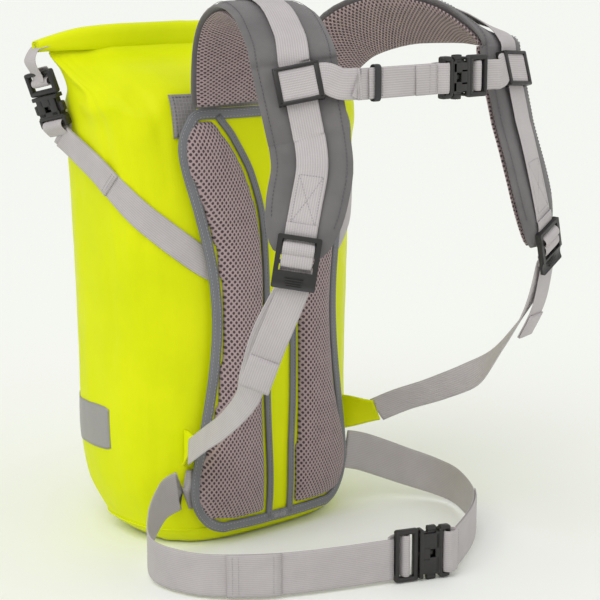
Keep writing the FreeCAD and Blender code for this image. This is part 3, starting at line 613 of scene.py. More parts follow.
MATERIALS = {
    "yellow": coated_fabric(),
    "mesh": air_mesh("air_mesh", False),
    "lining": air_mesh("strap_mesh", True),
    "webbing": woven("grey_webbing", (0.565, 0.525, 0.53), (0.415, 0.386, 0.392), 1.9, 1.2),
    "belt": woven("grey_belt_webbing", (0.52, 0.485, 0.49), (0.39, 0.362, 0.368), 1.7, 1.0),
    "binding": woven("binding_tape", (0.215, 0.22, 0.235), (0.15, 0.153, 0.165), 1.5, 0.8, 0.75, 0.4),
    "grid": grid_webbing(),
    "strap": strap_cloth(),
    "elastic": woven("black_elastic", (0.05, 0.05, 0.052), (0.025, 0.025, 0.027), 0.8, 0.8, 0.7, 0.5),
    "acetal": acetal(),
    "reflective": reflective(),
    "thread": thread("grey_thread", (0.42, 0.40, 0.41)),
    "dark_thread": thread("dark_thread", (0.10, 0.10, 0.105)),
    "sheet": acetal(),
}


# ---------------------------------------------------------------- the bag's cloth
def smooth(low, high, value):
    share = max(0.0, min(1.0, (value - low) / (high - low)))
    return share * share * (3 - 2 * share)


def crease(x, height, start, end, width):
    """Height of a soft ridge along a line on the bag's back, given as (x, height) ends."""
    place, first, last = Vector((x, height)), Vector(start), Vector(end)
    along = last - first
    share = max(0.0, min(1.0, (place - first).dot(along) / along.length_squared))
    distance = (place - first - along * share).length
    return math.exp(-(distance / width) ** 2) * math.sin(math.pi * min(1.0, 0.15 + 0.85 * (1 - share))) ** 0.5


def relief(height, angle):
    """Outward swell and creases of the bag's cloth, in millimetres. The back panel's bed stays still."""
    cosine, sine = math.cos(math.radians(angle)), math.sin(math.radians(angle))
    top = smooth(0.55, 1.0, height / BODY_HEIGHT)
    loose = smooth(-0.93, -0.55, sine)
    long_folds = noise.noise(Vector((cosine * 2.6, sine * 2.6, height * 0.0040)))
    short_folds = noise.noise(Vector((cosine * 7.0 + 5, sine * 7.0, height * 0.011)))
    fine = noise.noise(Vector((cosine * 15.0, sine * 15.0 + 3, height * 0.035)))
    swell = loose * (2.6 * long_folds + 1.1 * short_folds + 0.45 * fine)
    gather = top * loose * 2.2 * noise.noise(Vector((cosine * 11.0, sine * 11.0, height * 0.006)))
    foot = smooth(0.12, 0.0, height / BODY_HEIGHT) * 0.9 * noise.noise(Vector((angle * 0.05, 4,
                                                                               height * 0.03)))
    return swell + gather + foot


def cloth_point(height, angle, lift=0.0):
    """Point of the bag's cloth. Towards the mouth the section closes to a lens with two folded edges."""
    point = bag_point(height, angle)
    outside = bag_point(height, angle, 1.0) - point
    half_width, half_depth, middle = bag_section(height)
    closing = smooth(0.88, 0.995, height / BODY_HEIGHT)
    reach = min(1.0, abs(point.x) / half_width)
    lens = 1 - closing * 0.85 * smooth(0.55, 1.0, reach)
    y = middle + (point.y - middle) * lens
    rise = relief(height, angle) * (1 - 0.6 * closing)
    if point.y < middle:
        x = abs(point.x)
        rise += 3.2 * crease(x, height, (96, 452), (150, 398), 6.0) * (1 if point.x < 0 else 0.8)
        rise -= 2.4 * crease(x, height, (112, 446), (158, 410), 7.0)
        rise += 1.6 * crease(x, height, (128, 372), (92, 436), 9.0)
    bow = ROLL_BOW * (2 * point.x / ROLL_LENGTH) ** 2 * smooth(0.86, 1.0, height / BODY_HEIGHT)
    return Vector((point.x, y + bow, height)) + outside * (rise + lift)


def build_bag():
    around, rows = 200, 150
    vertices, uvs = [], []
    heights = [BODY_HEIGHT * (row / rows) for row in range(rows + 1)]
    rings = []
    for share in (0.06, 0.25, 0.45, 0.62, 0.76, 0.87, 0.94):
        rings.append((0.35 + 1.1 * (1 - share ** 3), share))
    rings += [(height, 1.0) for height in heights]
    for height, inward in rings:
        for k in range(around):
            point = cloth_point(height if inward == 1.0 else 0.0, 360 * k / around)
            if inward < 1.0:
                middle = bag_section(0.0)[2]
                point = Vector((point.x * inward, middle + (point.y - middle) * inward, height))
            elif height < 14:
                # the foot turns under with a small radius
                turn = 1 - math.sqrt(max(0.0, 1 - (1 - height / 14) ** 2))
                middle = bag_section(0.0)[2]
                point.x *= 1 - 0.035 * turn
                point.y = middle + (point.y - middle) * (1 - 0.05 * turn)
                point.z = height * 0.9 + 0.35 + 0.04 * height
            vertices.append(point)
            uvs.append((k / around, height / BODY_HEIGHT))
    # the flattened mouth runs on up into the roll
    for rise, narrow in ((3.0, 0.75), (7.0, 0.5), (11.0, 0.3)):
        for k in range(around):
            point = cloth_point(BODY_HEIGHT, 360 * k / around)
            spine = bag_section(BODY_HEIGHT)[2] + ROLL_BOW * (2 * point.x / ROLL_LENGTH) ** 2
            vertices.append(Vector((point.x * (1 - rise * 0.0012), spine + (point.y - spine) * narrow,
                                    BODY_HEIGHT + rise)))
            uvs.append((k / around, 1.0))
    bag = new_piece("bag_cloth", vertices, tube_faces(len(rings) + 3, around), MATERIALS["yellow"], uvs)
    fix(bag, "bag", "coated_yellow_fabric", "bag_shell")

    # welded seam round the foot
    loop = [cloth_point(15.0, 360 * k / 160, 0.5) for k in range(161)]
    fix(cord_tube("foot_seam", loop, 0.9, MATERIALS["yellow"], 6), "bag", "coated_yellow_fabric")


def roll_point(x, turn, scale):
    """Point of the rolled mouth's section at x. Turn is in degrees from the foot at the back."""
    share = max(0.0, (abs(x) - 78.0) / (ROLL_LENGTH / 2 - 78.0)) ** 2.2
    height = ROLL_HEIGHT - share * (ROLL_HEIGHT - ROLL_END)
    half = ROLL_THICKNESS / 2 * (1 - 0.25 * share)
    bow = ROLL_BOW * (2 * x / ROLL_LENGTH) ** 2
    cosine, sine = math.cos(math.radians(turn)), math.sin(math.radians(turn))
    power = 0.72
    y = half * scale * math.copysign(abs(cosine) ** power, cosine)
    z = height / 2 * scale * math.copysign(abs(sine) ** power, sine)
    middle = bag_section(BODY_HEIGHT)[2] + bow
    return Vector((x, middle + y, BODY_HEIGHT + GAP + height / 2 + z))


def build_roll():
    """The mouth, rolled over two and a half times. Its turns show at the ends."""
    columns, steps, turns = 150, 96, 2.4
    vertices, faces, uvs = [], [], []
    for column in range(columns + 1):
        x = ROLL_LENGTH * (column / columns - 0.5) * 0.998
        for step in range(steps + 1):
            part = step / steps
            turn = 235 - 360 * turns * part
            scale = 0.97 - 0.62 * part
            point = roll_point(x, turn, scale)
            wave = noise.noise(Vector((x * 0.022, part * 7, 2.0))) * 1.1
            wave += noise.noise(Vector((x * 0.07, part * 9, 7.0))) * 0.4
            droop = 1.6 * noise.noise(Vector((x * 0.018, 1.0, 1.0))) * (abs(x) / 168)
            outward = (point - roll_point(x, turn, 0.01)).normalized()
            vertices.append(point + outward * (wave * (1 - part) - 0.6) + Vector((0, 0, droop * (1 - part))))
            uvs.append((x * MM, part))
    for column in range(columns):
        for step in range(steps):
            a = column * (steps + 1) + step
            faces.append((a, a + 1, a + steps + 2, a + steps + 1))
    roll = new_piece("rolled_mouth", vertices, faces, MATERIALS["yellow"], uvs)
    solid = roll.modifiers.new("cloth_thickness", "SOLIDIFY")
    solid.thickness = 1.0 * MM
    solid.offset = 0
    fix(roll, "bag", "coated_yellow_fabric", "roll_top")


# ---------------------------------------------------------------- the back panel
PANEL_FACE = PANEL_LIFT + PANEL_THICK


def panel_grid(name, low_edge, high_edge, low_lift, top_lift, shares, columns, material, shape):
    """Closed slab on the bag's back. shape(part, share) says how much of the thickness stands there."""
    vertices, uvs = [], []
    for share in shares:
        height = panel_height(share)
        start, end = low_edge(share), high_edge(share)
        xs = [start + (end - start) * column / columns for column in range(columns + 1)]
        for column, x in enumerate(xs):
            lift = low_lift + (top_lift - low_lift) * shape(column / columns, share)
            vertices.append(back_point(x, height, lift))
            uvs.append((height * MM, x * MM))
        for x in xs[::-1]:
            vertices.append(back_point(x, height, low_lift))
            uvs.append((height * MM, x * MM))
    return new_piece(name, vertices, tube_faces(len(shares), 2 * columns + 2), material, uvs)


def inflate(piece, cap, pressure=4.0, voxel=0.005, smooth_steps=2):
    """Swell a pad like stuffed cloth: remesh, run cloth with pressure, and cap how far it moves."""
    remesh = piece.modifiers.new("voxels", "REMESH")
    remesh.mode = "VOXEL"
    remesh.voxel_size = voxel
    depsgraph = bpy.context.evaluated_depsgraph_get()
    mesh = bpy.data.meshes.new_from_object(piece.evaluated_get(depsgraph))
    piece.modifiers.clear()
    materials = list(piece.data.materials)
    piece.data = mesh
    mesh.materials.clear()
    for material in materials:
        mesh.materials.append(material)
    before = [vertex.co.copy() for vertex in mesh.vertices]
    cloth = piece.modifiers.new("stuffing", "CLOTH")
    cloth.settings.use_pressure = True
    cloth.settings.uniform_pressure_force = pressure
    cloth.settings.quality = 5
    cloth.settings.mass = 0.3
    cloth.settings.effector_weights.gravity = 0.0
    scene = bpy.context.scene
    for number in range(1, 21):
        scene.frame_set(number)
    depsgraph = bpy.context.evaluated_depsgraph_get()
    swollen = bpy.data.meshes.new_from_object(piece.evaluated_get(depsgraph))
    after = [vertex.co.copy() for vertex in swollen.vertices]
    piece.modifiers.clear()
    for vertex, old, new in zip(mesh.vertices, before, after):
        move = new - old
        if move.length > cap:
            move *= cap / move.length
        vertex.co = old + move
    scene.frame_set(1)
    ease = piece.modifiers.new("ease", "SMOOTH")
    ease.factor, ease.iterations = 0.5, smooth_steps
    finer = piece.modifiers.new("finer", "SUBSURF")
    finer.levels = finer.render_levels = 1
    depsgraph = bpy.context.evaluated_depsgraph_get()
    final = bpy.data.meshes.new_from_object(piece.evaluated_get(depsgraph))
    piece.modifiers.clear()
    piece.data = final
    final.polygons.foreach_set("use_smooth", [True] * len(final.polygons))


def outline_route(side):
    """Middle line of the binding round one half of the panel, with its outward directions."""
    half = BINDING / 2
    route = [(0, 0.0), (30, 0.0), (55, 0.0)]
    route += [(panel_edge(s), s) for s in (0.012, 0.03, 0.075, 0.14, 0.27, 0.4, 0.52, 0.64, 0.76, 0.87, 0.925,
                                           0.965)]
    route += [(80, 1.0), (55, 1.0), (28, 1.0), (0, 1.0)]
    points = []
    for x, share in route:
        height = panel_height(share) + (half if share == 0.0 else -half if share == 1.0 else 0)
        reach = x - half if 0 < share < 1 else x
        points.append(back_point(side * reach, height, PANEL_FACE + 0.4))
    path = resample(points, 6)
    return path, [Vector((side * 0.004 * abs(p.x), -1, 0)).normalized() for p in path]


def offset_row(path, outward, side, up):
    """The same path shifted across and outward, for a row of stitches."""
    shifted = []
    for point, along, face in zip(path, tangents(path), outward):
        across = along.cross(face).normalized()
        shifted.append(point + across * side + across.cross(along).normalized() * up)
    return shifted


def build_panel():
    backing_shares = [step / 70 for step in range(71)]

    def channel(part, share):
        edge = min(part, 1 - part, 6 * share, 6 * (1 - share)) * 14
        return 0.45 + 0.5 * smooth(0, 1, edge) - 0.10 * math.exp(-((part - 0.5) / 0.08) ** 2)

    backing = panel_grid("panel_channel", lambda s: 4 - panel_edge(s), lambda s: panel_edge(s) - 4,
                         PANEL_LIFT, PANEL_FACE,
                         backing_shares, 48, MATERIALS["yellow"], channel)
    fix(backing, "bag", "coated_yellow_fabric", "panel_backing")

    shares = [0.022 + (0.982 - 0.022) * step / 60 for step in range(61)]
    for name, side in SIDES:
        def inner(share):
            return side * (profile_row(PAD_EDGE, share)[0] + 4.4)

        def outer(share):
            return side * (panel_edge(share) - BINDING + 3.5)

        def crown(part, share):
            ends = min(1.0, (share - 0.015) * 14, (0.99 - share) * 14)
            return 0.30 + 0.62 * math.sin(math.pi * part) ** 0.5 * max(0.0, ends) ** 0.5

        pad = panel_grid(f"{name}_mesh_pad", inner, outer, PANEL_FACE - 3, PANEL_FACE + PAD_THICK, shares, 24,
                         MATERIALS["mesh"], crown)
        inflate(pad, 0.004)
        fix(pad, "bag", "air_mesh", f"{name}_pad")

        path, outward = outline_route(side)
        tape = cushion_band(f"{name}_binding", path, outward, [BINDING + 1] * len(path), -0.6, 3.0,
                            MATERIALS["binding"], 0.6, 16)
        fix(tape, "bag", "grey_binding", f"{name}_panel_binding")
        rows = [(offset_row(path, outward, shift, 2.75), outward) for shift in (-2.6, 2.6)]
        fix(stitches(f"{name}_binding_stitches", rows, MATERIALS["thread"]), "bag", "grey_binding")

        steps = [0.012 + (0.985 - 0.012) * step / 60 for step in range(61)]
        line = [back_point(side * (profile_row(PAD_EDGE, s)[0] + 2.6), panel_height(s),
                           PANEL_FACE) for s in steps]
        faces = [Vector((0, -1, 0))] * len(line)
        piping = cushion_band(f"{name}_inner_binding", line, faces, [7.0] * len(line), -0.8, 3.8,
                              MATERIALS["binding"], 0.7, 16)
        fix(piping, "bag", "grey_binding", f"{name}_pad_piping")
        rows = [(offset_row(line, faces, 0.0, 3.75), faces)]
        fix(stitches(f"{name}_inner_stitches", rows, MATERIALS["dark_thread"]), "bag", "grey_binding")

    bartack = [back_point(x, PANEL_BOTTOM + BINDING / 2, PANEL_FACE + 3.2) for x in (-7, -3, 3, 7)]
    rows = [([p + Vector((0, 0, z)) for p in bartack], [Vector((0, -1, 0))] * 4) for z in (-1.4, -0.5, 0.4,
                                                                                           1.3)]
    fix(stitches("foot_bartack", rows, MATERIALS["thread"], 1.6, 1.7, 0.4), "bag", "grey_binding")


def build_band():
    """Reinforcing band across the top of the panel, under the ends of the shoulder straps."""
    level = PANEL_TOP + 13 - 19
    vertices, uvs = [], []
    columns, rows = 60, 8
    for column in range(columns + 1):
        x = 100.0 * (2 * column / columns - 1)
        ring = [(row / rows, 2.2) for row in range(rows + 1)] + [(1 - row / rows,
                                                                  0.4) for row in range(rows + 1)]
        for share, lift in ring:
            height = level - 19 + 38 * share
            edge = 0.25 if share in (0.0, 1.0) and lift > 1 else 0.0
            vertices.append(back_point(x, height, lift - edge))
            uvs.append((x * MM, height * MM))
    band = new_piece("grid_band", vertices, tube_faces(columns + 1, 2 * rows + 2), MATERIALS["grid"], uvs)
    fix(band, "bag", "ladder_webbing", "top_band")
    rows = []
    for edge in (-16.8, 16.8):
        line = [back_point(100.0 * (2 * step / 40 - 1) * 0.985, level + edge, 2.25) for step in range(41)]
        rows.append((line, [Vector((0, -1, 0.1))] * len(line)))
    for x in (-97, 97):
        line = [back_point(x, level - 17 + 34 * step / 12, 2.25) for step in range(13)]
        rows.append((line, [Vector((0, -1, 0.1))] * len(line)))
    fix(stitches("band_stitches", rows, MATERIALS["dark_thread"]), "bag", "ladder_webbing")


def build_patch():
    """Plain reflective patch, welded on, with rounded corners."""
    vertices, uvs = [], []
    columns, rows, corner = 26, 14, 0.10
    angles = [134 + 49 * step / columns for step in range(columns + 1)]
    for column, angle in enumerate(angles):
        end = min(column, columns - column) / columns
        trim = corner * (1 - math.sqrt(max(0.0, 1 - (1 - min(1.0,
                                                             end / corner)) ** 2))) if end < corner else 0.0
        ring = [(row / rows, 0.75) for row in range(rows + 1)] + [(1 - row / rows,
                                                                   0.1) for row in range(rows + 1)]
        for share, lift in ring:
            share = trim * 0.6 + share * (1 - 1.2 * trim)
            height = 84 + 42 * share
            vertices.append(cloth_point(height, angle, lift))
            uvs.append((angle * 0.002, height * MM))
    patch = new_piece("reflective_label", vertices, tube_faces(columns + 1, 2 * rows + 2),
                      MATERIALS["reflective"], uvs)
    fix(patch, "bag", "reflective_film", "reflective_patch")


# ---------------------------------------------------------------- moulded hardware
def soften(node, name, body, bevel=0.5, slot="black_acetal"):
    """The moulded CAD piece with its edges rounded, in its own place."""
    bm = bmesh.new()
    bm.from_mesh(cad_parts[node].data)
    bmesh.ops.remove_doubles(bm, verts=bm.verts, dist=1e-5)
    bmesh.ops.dissolve_limit(bm, angle_limit=math.radians(1.0), verts=bm.verts, edges=bm.edges)
    sharp = [edge for edge in bm.edges
             if len(edge.link_faces) == 2 and edge.calc_face_angle(0.0) > math.radians(50)]
    bmesh.ops.bevel(bm, geom=sharp, offset=bevel * MM, segments=2, profile=0.6, affect="EDGES",
                    clamp_overlap=True)
    bmesh.ops.triangulate(bm, faces=[face for face in bm.faces if len(face.verts) > 4])
    bmesh.ops.recalc_face_normals(bm, faces=bm.faces)
    mesh = bpy.data.meshes.new(name)
    bm.to_mesh(mesh)
    bm.free()
    for polygon in mesh.polygons:
        polygon.use_smooth = True
    mesh.materials.append(MATERIALS["acetal"])
    piece = bpy.data.objects.new(name, mesh)
    bpy.context.scene.collection.objects.link(piece)
    piece.modifiers.new("crisp", "WEIGHTED_NORMAL").keep_sharp = True
    return fix(piece, body, slot, node)


def local_ribbon(name, place, route, width, material, body, slot, onto=None):
    """Webbing threaded through hardware along (x, z) points. With onto, it is left unattached, its transform
    baked in.
    """
    flat = resample([Vector((x, 0, z)) for x, z in route], 5)
    path = [place @ p for p in flat]
    y_axis = place.to_3x3() @ Vector((0, 1, 0))
    outward = [y_axis.cross(way).normalized() * -1 for way in tangents(path)]
    piece = ribbon(name, path, outward, width, material)
    if onto is None:
        return fix(piece, body, slot)
    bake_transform(piece)
    return piece


def grips(name, place, hand, width, body):
    """Grip ridges on the pressed side of a prong."""
    boxes = [((-9.5 - 2.1 * n, hand * (width / 2 + 0.35), 0), (1.0, 1.5, 4.2), 0.4) for n in range(3)]
    return fix(moulding(name, boxes, place, MATERIALS["acetal"]), body, "black_acetal")


def build_socket(prefix, width, place, parent):
    """Socket half: two plates with a window through them, a mouth collar, side stubs and the webbing bar."""
    thick, wall = BUCKLE_THICK, 1.9
    half = width / 2
    boxes = [((-1.9, 0, z), (3.8, width - 3, 2.3), 0.9) for z in (thick / 2 - 1.0, 1.0 - thick / 2)]
    boxes += [((-1.9, y, 0), (3.6, 2.6, thick), 1.0) for y in (2.6 - half, half - 2.6)]
    for z in (thick / 2 - wall / 2, wall / 2 - thick / 2):
        boxes += [((-10.5, y, z), (17.5, width / 2 - 9.2, wall), 0.8) for y in (-(width / 4 - 0.9),
                                                                                width / 4 - 0.9)]
        boxes += [((-6.2, 0, z), (7.6, 13, wall), 0.7), ((-17.4, 0, z), (4.6, width - 9, wall), 0.8)]
    boxes += [((-20.6, 0, 0), (4.2, width - 4, thick - 0.6), 1.5),
              ((-28.6, 0, 0), (3.0, width - 1, thick - 2.2), 1.4)]
    boxes += [((-24.8, y, 0), (9.5, 4.4, thick - 1.2), 1.7) for y in (2.4 - half, half - 2.4)]
    piece = moulding(f"{prefix}_socket", boxes, place, MATERIALS["acetal"])
    fix(piece, parent, "black_acetal", f"{prefix}_buckle_female")


def build_plug(prefix, width, place, parent):
    """Plug half: a rounded frame with two webbing bars, and the guide tongue between the prongs."""
    half, thick = width / 2, BUCKLE_THICK - 2.4
    boxes = [((11.4, y, 0), (22.0, 4.6, thick), 2.0) for y in (2.4 - half, half - 2.4)]
    boxes += [((2.9, 0, 0), (5.0, width - 1, thick), 1.9),
              ((12.0, 0, -0.4), (3.4, width - 4, thick - 2.4), 1.2),
              ((20.6, 0, 0), (3.8, width - 1, thick), 1.7), ((-6.5, 0, 0), (15.0, 4.6, 3.6), 1.0)]
    piece = moulding(f"{prefix}_plug", boxes, place, MATERIALS["acetal"])
    fix(piece, parent, "black_acetal", f"{prefix}_buckle_male")


def build_buckle(prefix, webbing, place, parent):
    """Both halves, and the two prongs with their grips."""
    width = webbing + 2 * RAIL
    build_socket(prefix, width, place, parent)
    build_plug(prefix, width, place, parent)
    for number, hand in ((1, -1), (2, 1)):
        soften(f"{prefix}_buckle_prong_{number}", f"{prefix}_prong_{number}_arm", f"{prefix}_prong_{number}",
               0.35)
        pad = [((-12.2, hand * (width / 2 - 1.9), 0), (9.5, 4.0, 5.2), 1.5)]
        fix(moulding(f"{prefix}_prong_{number}_pad", pad, place, MATERIALS["acetal"]),
            f"{prefix}_prong_{number}", "black_acetal")
        grips(f"{prefix}_grip_{number}", place, hand, width - 0.6, f"{prefix}_prong_{number}")


def side_buckle_place(side):
    return axes_frame(Vector((side * 160.5, 34, 413)), Vector((side * 0.26, 0.16, 0.95)),
                      Vector((side, -0.25, -0.2)))


SOCKET_LOOP = [(-37, 0.6), (-33, 3.4), (-28.6, 5.6), (-25.3, 3.8), (-24.8, 0), (-25.3, -3.8), (-28.6, -5.6),
               (-33, -4.2),
               (-38, -1.4)]
PLUG_LOOP = [(28, 0.3), (24.4, -2.2), (20.4, -3.9), (17.2, -2.2), (15.2, 2.6), (12.0, 4.2), (9.0, 2.8),
             (7.9, -1.0),
             (9.6, -4.4), (14.0, -5.5), (21.0, -5.8), (26.0, -3.6)]


def build_side_straps():
    for name, side in SIDES:
        place = side_buckle_place(side)
        build_buckle(f"{name}_side", WEBBING, place, "bag")
        top = place @ Vector((GAP + 13.5 + 2.3, 0, 0))
        end = Vector((side * (ROLL_LENGTH / 2 - 5), bag_section(BODY_HEIGHT)[2] + ROLL_BOW,
                      BODY_HEIGHT + GAP + ROLL_END / 2))
        loop = [end + Vector((-side * 26, 0, 2)), end + Vector((-side * 6, 0, 0)),
                end + Vector((side * 4, 0.5, -3)),
                Vector((side * 174, top.y, 444)), top + Vector((side * 2.5, 0, 3)), top + Vector((side * 1.0,
                                                                                                  0, -3))]
        faces = [Vector((0, 0, 1)), Vector((side * 0.3, 0, 0.9)), Vector((side, 0, 0.5)),
                 Vector((side, 0, 0.1)),
                 Vector((side, 0, -0.1)), Vector((side, 0, -0.2))]
        path = resample(loop, 6)
        outward = [f.normalized() for f in resample(faces, 6)]
        fix(ribbon(f"{name}_roll_end_loop", path, outward, 19, MATERIALS["webbing"]), "bag", "grey_webbing",
            f"{name}_roll_loop")

        start = place @ Vector((-FEMALE - 5.5, 0, -TAPE / 2))
        stops = [(98, 5, 2.6), (80, -5, 1.6), (62, -17, 1.2), (44, -30, 1.0), (27, -43, 0.9), (12, -54, 0.8),
                 (0, -62.5, 0.7),
                 (-8, -69.0, 0.7)]
        route, faces = [start], [Vector((side, -0.2, -0.1)).normalized()]
        for rise, turn, lift in stops:
            angle = turn if side > 0 else 180 - turn
            point = cloth_point(SIDE_STRAP_HEIGHT + rise, angle, lift)
            route.append(point)
            faces.append((cloth_point(SIDE_STRAP_HEIGHT + rise, angle, lift + 1) - point).normalized())
        path = resample(route, 10)
        outward = [f.normalized() for f in resample(faces, 10)]
        fix(ribbon(f"{name}_side_strap", path, outward, WEBBING, MATERIALS["webbing"], cup=0.3), "bag",
            "grey_webbing", f"{name}_side_webbing")
        fix(ribbon(f"{name}_side_strap_end", path[3:28], outward[3:28], WEBBING + 0.3, MATERIALS["webbing"],
                   lift=TAPE + 0.1), "bag", "grey_webbing", f"{name}_side_webbing_tail")
        rows = []
        for index in (25, 26):
            across = (path[index + 1] - path[index - 1]).normalized().cross(outward[index])
            middle = path[index] + outward[index] * (2 * TAPE + 0.15)
            rows.append(([middle + across * s for s in (-11, -4, 4, 11)], [outward[index]] * 4))
        fix(stitches(f"{name}_side_strap_stitches", rows, MATERIALS["thread"], 2.4, 1.9), "bag",
            "grey_webbing")
        local_ribbon(f"{name}_side_socket_loop", place, SOCKET_LOOP, WEBBING, MATERIALS["webbing"], "bag",
                     "grey_webbing")
        local_ribbon(f"{name}_side_plug_loop", place, PLUG_LOOP[1:-1], 21, MATERIALS["webbing"], "bag",
                     "grey_webbing")


# ---------------------------------------------------------------- shoulder straps
def strap_widths(count):
    last = count - 1
    widths = [STRAP_WIDTH * (1.05 - 0.12 * (number / last)) for number in range(count)]
    for number in range(count):
        back = last - number
        if back < 9:
            widths[number] *= 0.30 + 0.70 * math.sqrt(max(0.0, 1 - (1 - back / 9) ** 2)) if back else 0.30
    return widths


def padded_strap(name, path, outward, widths, material, low, high, seam, groove, around=40):
    """Foam strap: flat crowned face, thin stitched edge and a groove along each seam."""
    vertices, uvs = [], []
    length = 0.0
    for number, (point, along, face, width) in enumerate(zip(path, tangents(path), outward, widths)):
        if number:
            length += (point - path[number - 1]).length
        across = along.cross(face).normalized()
        normal = across.cross(along).normalized()
        half = width / 2
        for k in range(around):
            turn = 2 * math.pi * k / around
            c, s = math.cos(turn), math.sin(turn)
            side = half * math.copysign(abs(c) ** 0.42, c)
            from_edge = half - abs(side)
            full = min(1.0, 0.42 + 0.58 * smooth(0, seam * 1.7, from_edge))
            dip = groove * math.exp(-((from_edge - seam) / 1.3) ** 2)
            middle = (low + high) / 2
            up = middle + (high - low) / 2 * full * math.copysign(abs(s) ** 0.5, s)
            up -= math.copysign(dip, s) * (abs(s) > 0.2)
            ripple = 0.35 * noise.noise(Vector((length * 0.045, side * 0.03, low)))
            vertices.append(point + across * side + normal * (up + ripple))
            uvs.append((length * MM, side * MM))
    piece = new_piece(name, vertices, tube_faces(len(path), around), material, uvs)
    return piece


def box_stitch(path, outward, first, last, half, up):
    """A sewn box with a cross in it, between two points of a webbing's path."""
    ways = tangents(path)

    def corner(index, side):
        across = ways[index].cross(outward[index]).normalized()
        return path[index] + across * side + outward[index] * up

    middle = (first + last) // 2
    runs = [[(first, -half), (middle, -half), (last, -half)], [(first, half), (middle, half), (last, half)],
            [(first, -half), (first, 0), (first, half)], [(last, -half), (last, 0), (last, half)],
            [(first, -half), (middle, 0), (last, half)], [(first, half), (middle, 0), (last, -half)]]
    return [([corner(i, s) for i, s in run], [outward[i] for i, _ in run]) for run in runs]


def lock_place(name):
    path, faces = strap_line(name, 2)
    along = (path[-1] - path[-2]).normalized()
    lift = (STRAP_THICK + LOCK_THICK) / 2 + 2 * GAP
    return axes_frame(path[-1] + faces[-1] * lift - along * LOCK_SETBACK, along, faces[-1])


def slider_place(name):
    side = -1 if name == "left" else 1
    start = Vector(SLIDE_START[name])
    middle = start + SLIDE_DIRECTION * ((start.z - 438.0) / -SLIDE_DIRECTION.z)
    face = SLIDE_DIRECTION.cross(ACROSS[name]).normalized()
    face.x *= side
    middle.x *= side
    return axes_frame(middle + face * (STRAP_THICK / 2 + 0.05 + 2.0 + 0.7 + TAPE / 2), SLIDE_DIRECTION, face)


LOCK_UPPER = [(-13, -2.4), (-7, -2.3), (-2.0, -3.1), (2.2, -1.6), (4.6, 2.0), (7.8, 3.5), (10.6, 2.2),
              (11.2, -0.6)]
LOCK_LOWER = [(33, -5.8), (26, -4.6), (22.2, -2.8), (21.6, 1.4), (18.0, 3.6), (12.8, 3.6), (10.6, 1.2),
              (9.8, -2.4),
              (13.0, -4.6), (22, -5.6)]


def build_harness():
    top = STRAP_THICK / 2
    crown = top - 0.4       # the cloth stays clear of the sliders as they travel
    for name, _ in SIDES:
        path, faces = strap_line(name, 4)
        count = len(path)
        widths = strap_widths(count)
        strap = padded_strap(f"{name}_padded_strap", path, faces, widths, MATERIALS["strap"], -top, crown,
                             5.0, 0.55)
        fix(strap, "harness", "strap_fabric", f"{name}_shoulder_strap")
        lining = padded_strap(f"{name}_mesh_lining", path, faces, [w - 5 for w in widths],
                              MATERIALS["lining"],
                              -top - LINING_THICK, -top + 2.0, 4.0, 0.4)
        fix(lining, "harness", "air_mesh", f"{name}_strap_lining")
        rows = []
        for hand in (-1, 1):
            edge = []
            for point, along, face, width in zip(path, tangents(path), faces, widths):
                across = along.cross(face).normalized()
                up = across.cross(along).normalized()
                edge.append(point + across * (hand * (width / 2 - 5.0)) + up * (crown - 0.75))
            rows.append((edge[2:-5], faces[2:-5]))
        fix(stitches(f"{name}_strap_stitches", rows, MATERIALS["dark_thread"], 3.2, 2.2, 0.32), "harness",
            "strap_fabric")

        first, last = 12, count - 5
        raised = []
        for number in range(first, last + 1):
            share = max(0.0, min(1.0, (number - first) / 10, (last - number) / 10))
            raised.append(path[number] + faces[number] * (top + 0.05 + 2.7 * share))
        over = faces[first:last + 1]
        fix(ribbon(f"{name}_shoulder_webbing", raised, over, WEBBING, MATERIALS["webbing"]), "harness",
            "grey_webbing", f"{name}_strap_webbing")
        end = len(raised) - 1
        fix(stitches(f"{name}_webbing_box", box_stitch(raised, over, end - 7, end - 1, 9.5, TAPE + 0.05),
                     MATERIALS["thread"], 2.3, 1.8, 0.36), "harness", "grey_webbing")

        lock = lock_place(name)
        soften(f"{name}_ladder_lock", f"{name}_ladder_lock_body", f"{name}_lock", 0.7)
        ridges = [((31.0 + 2.0 * n, 0, 1.55 - 0.28 * n), (0.9, 15 - 1.5 * n, 0.8), 0.35) for n in range(3)]
        fix(moulding(f"{name}_thumb_ridges", ridges, lock, MATERIALS["acetal"]), f"{name}_lock",
            "black_acetal")
        local_ribbon(f"{name}_lock_upper_loop", lock, LOCK_UPPER, WEBBING, MATERIALS["webbing"], "harness",
                     "grey_webbing", f"{name}_lock")
        local_ribbon(f"{name}_lock_lower_loop", lock, LOCK_LOWER, WEBBING, MATERIALS["webbing"],
                     f"{name}_lock", "grey_webbing")
        soften(f"{name}_slider", f"{name}_sternum_slider", "sternum_strap", 0.6)


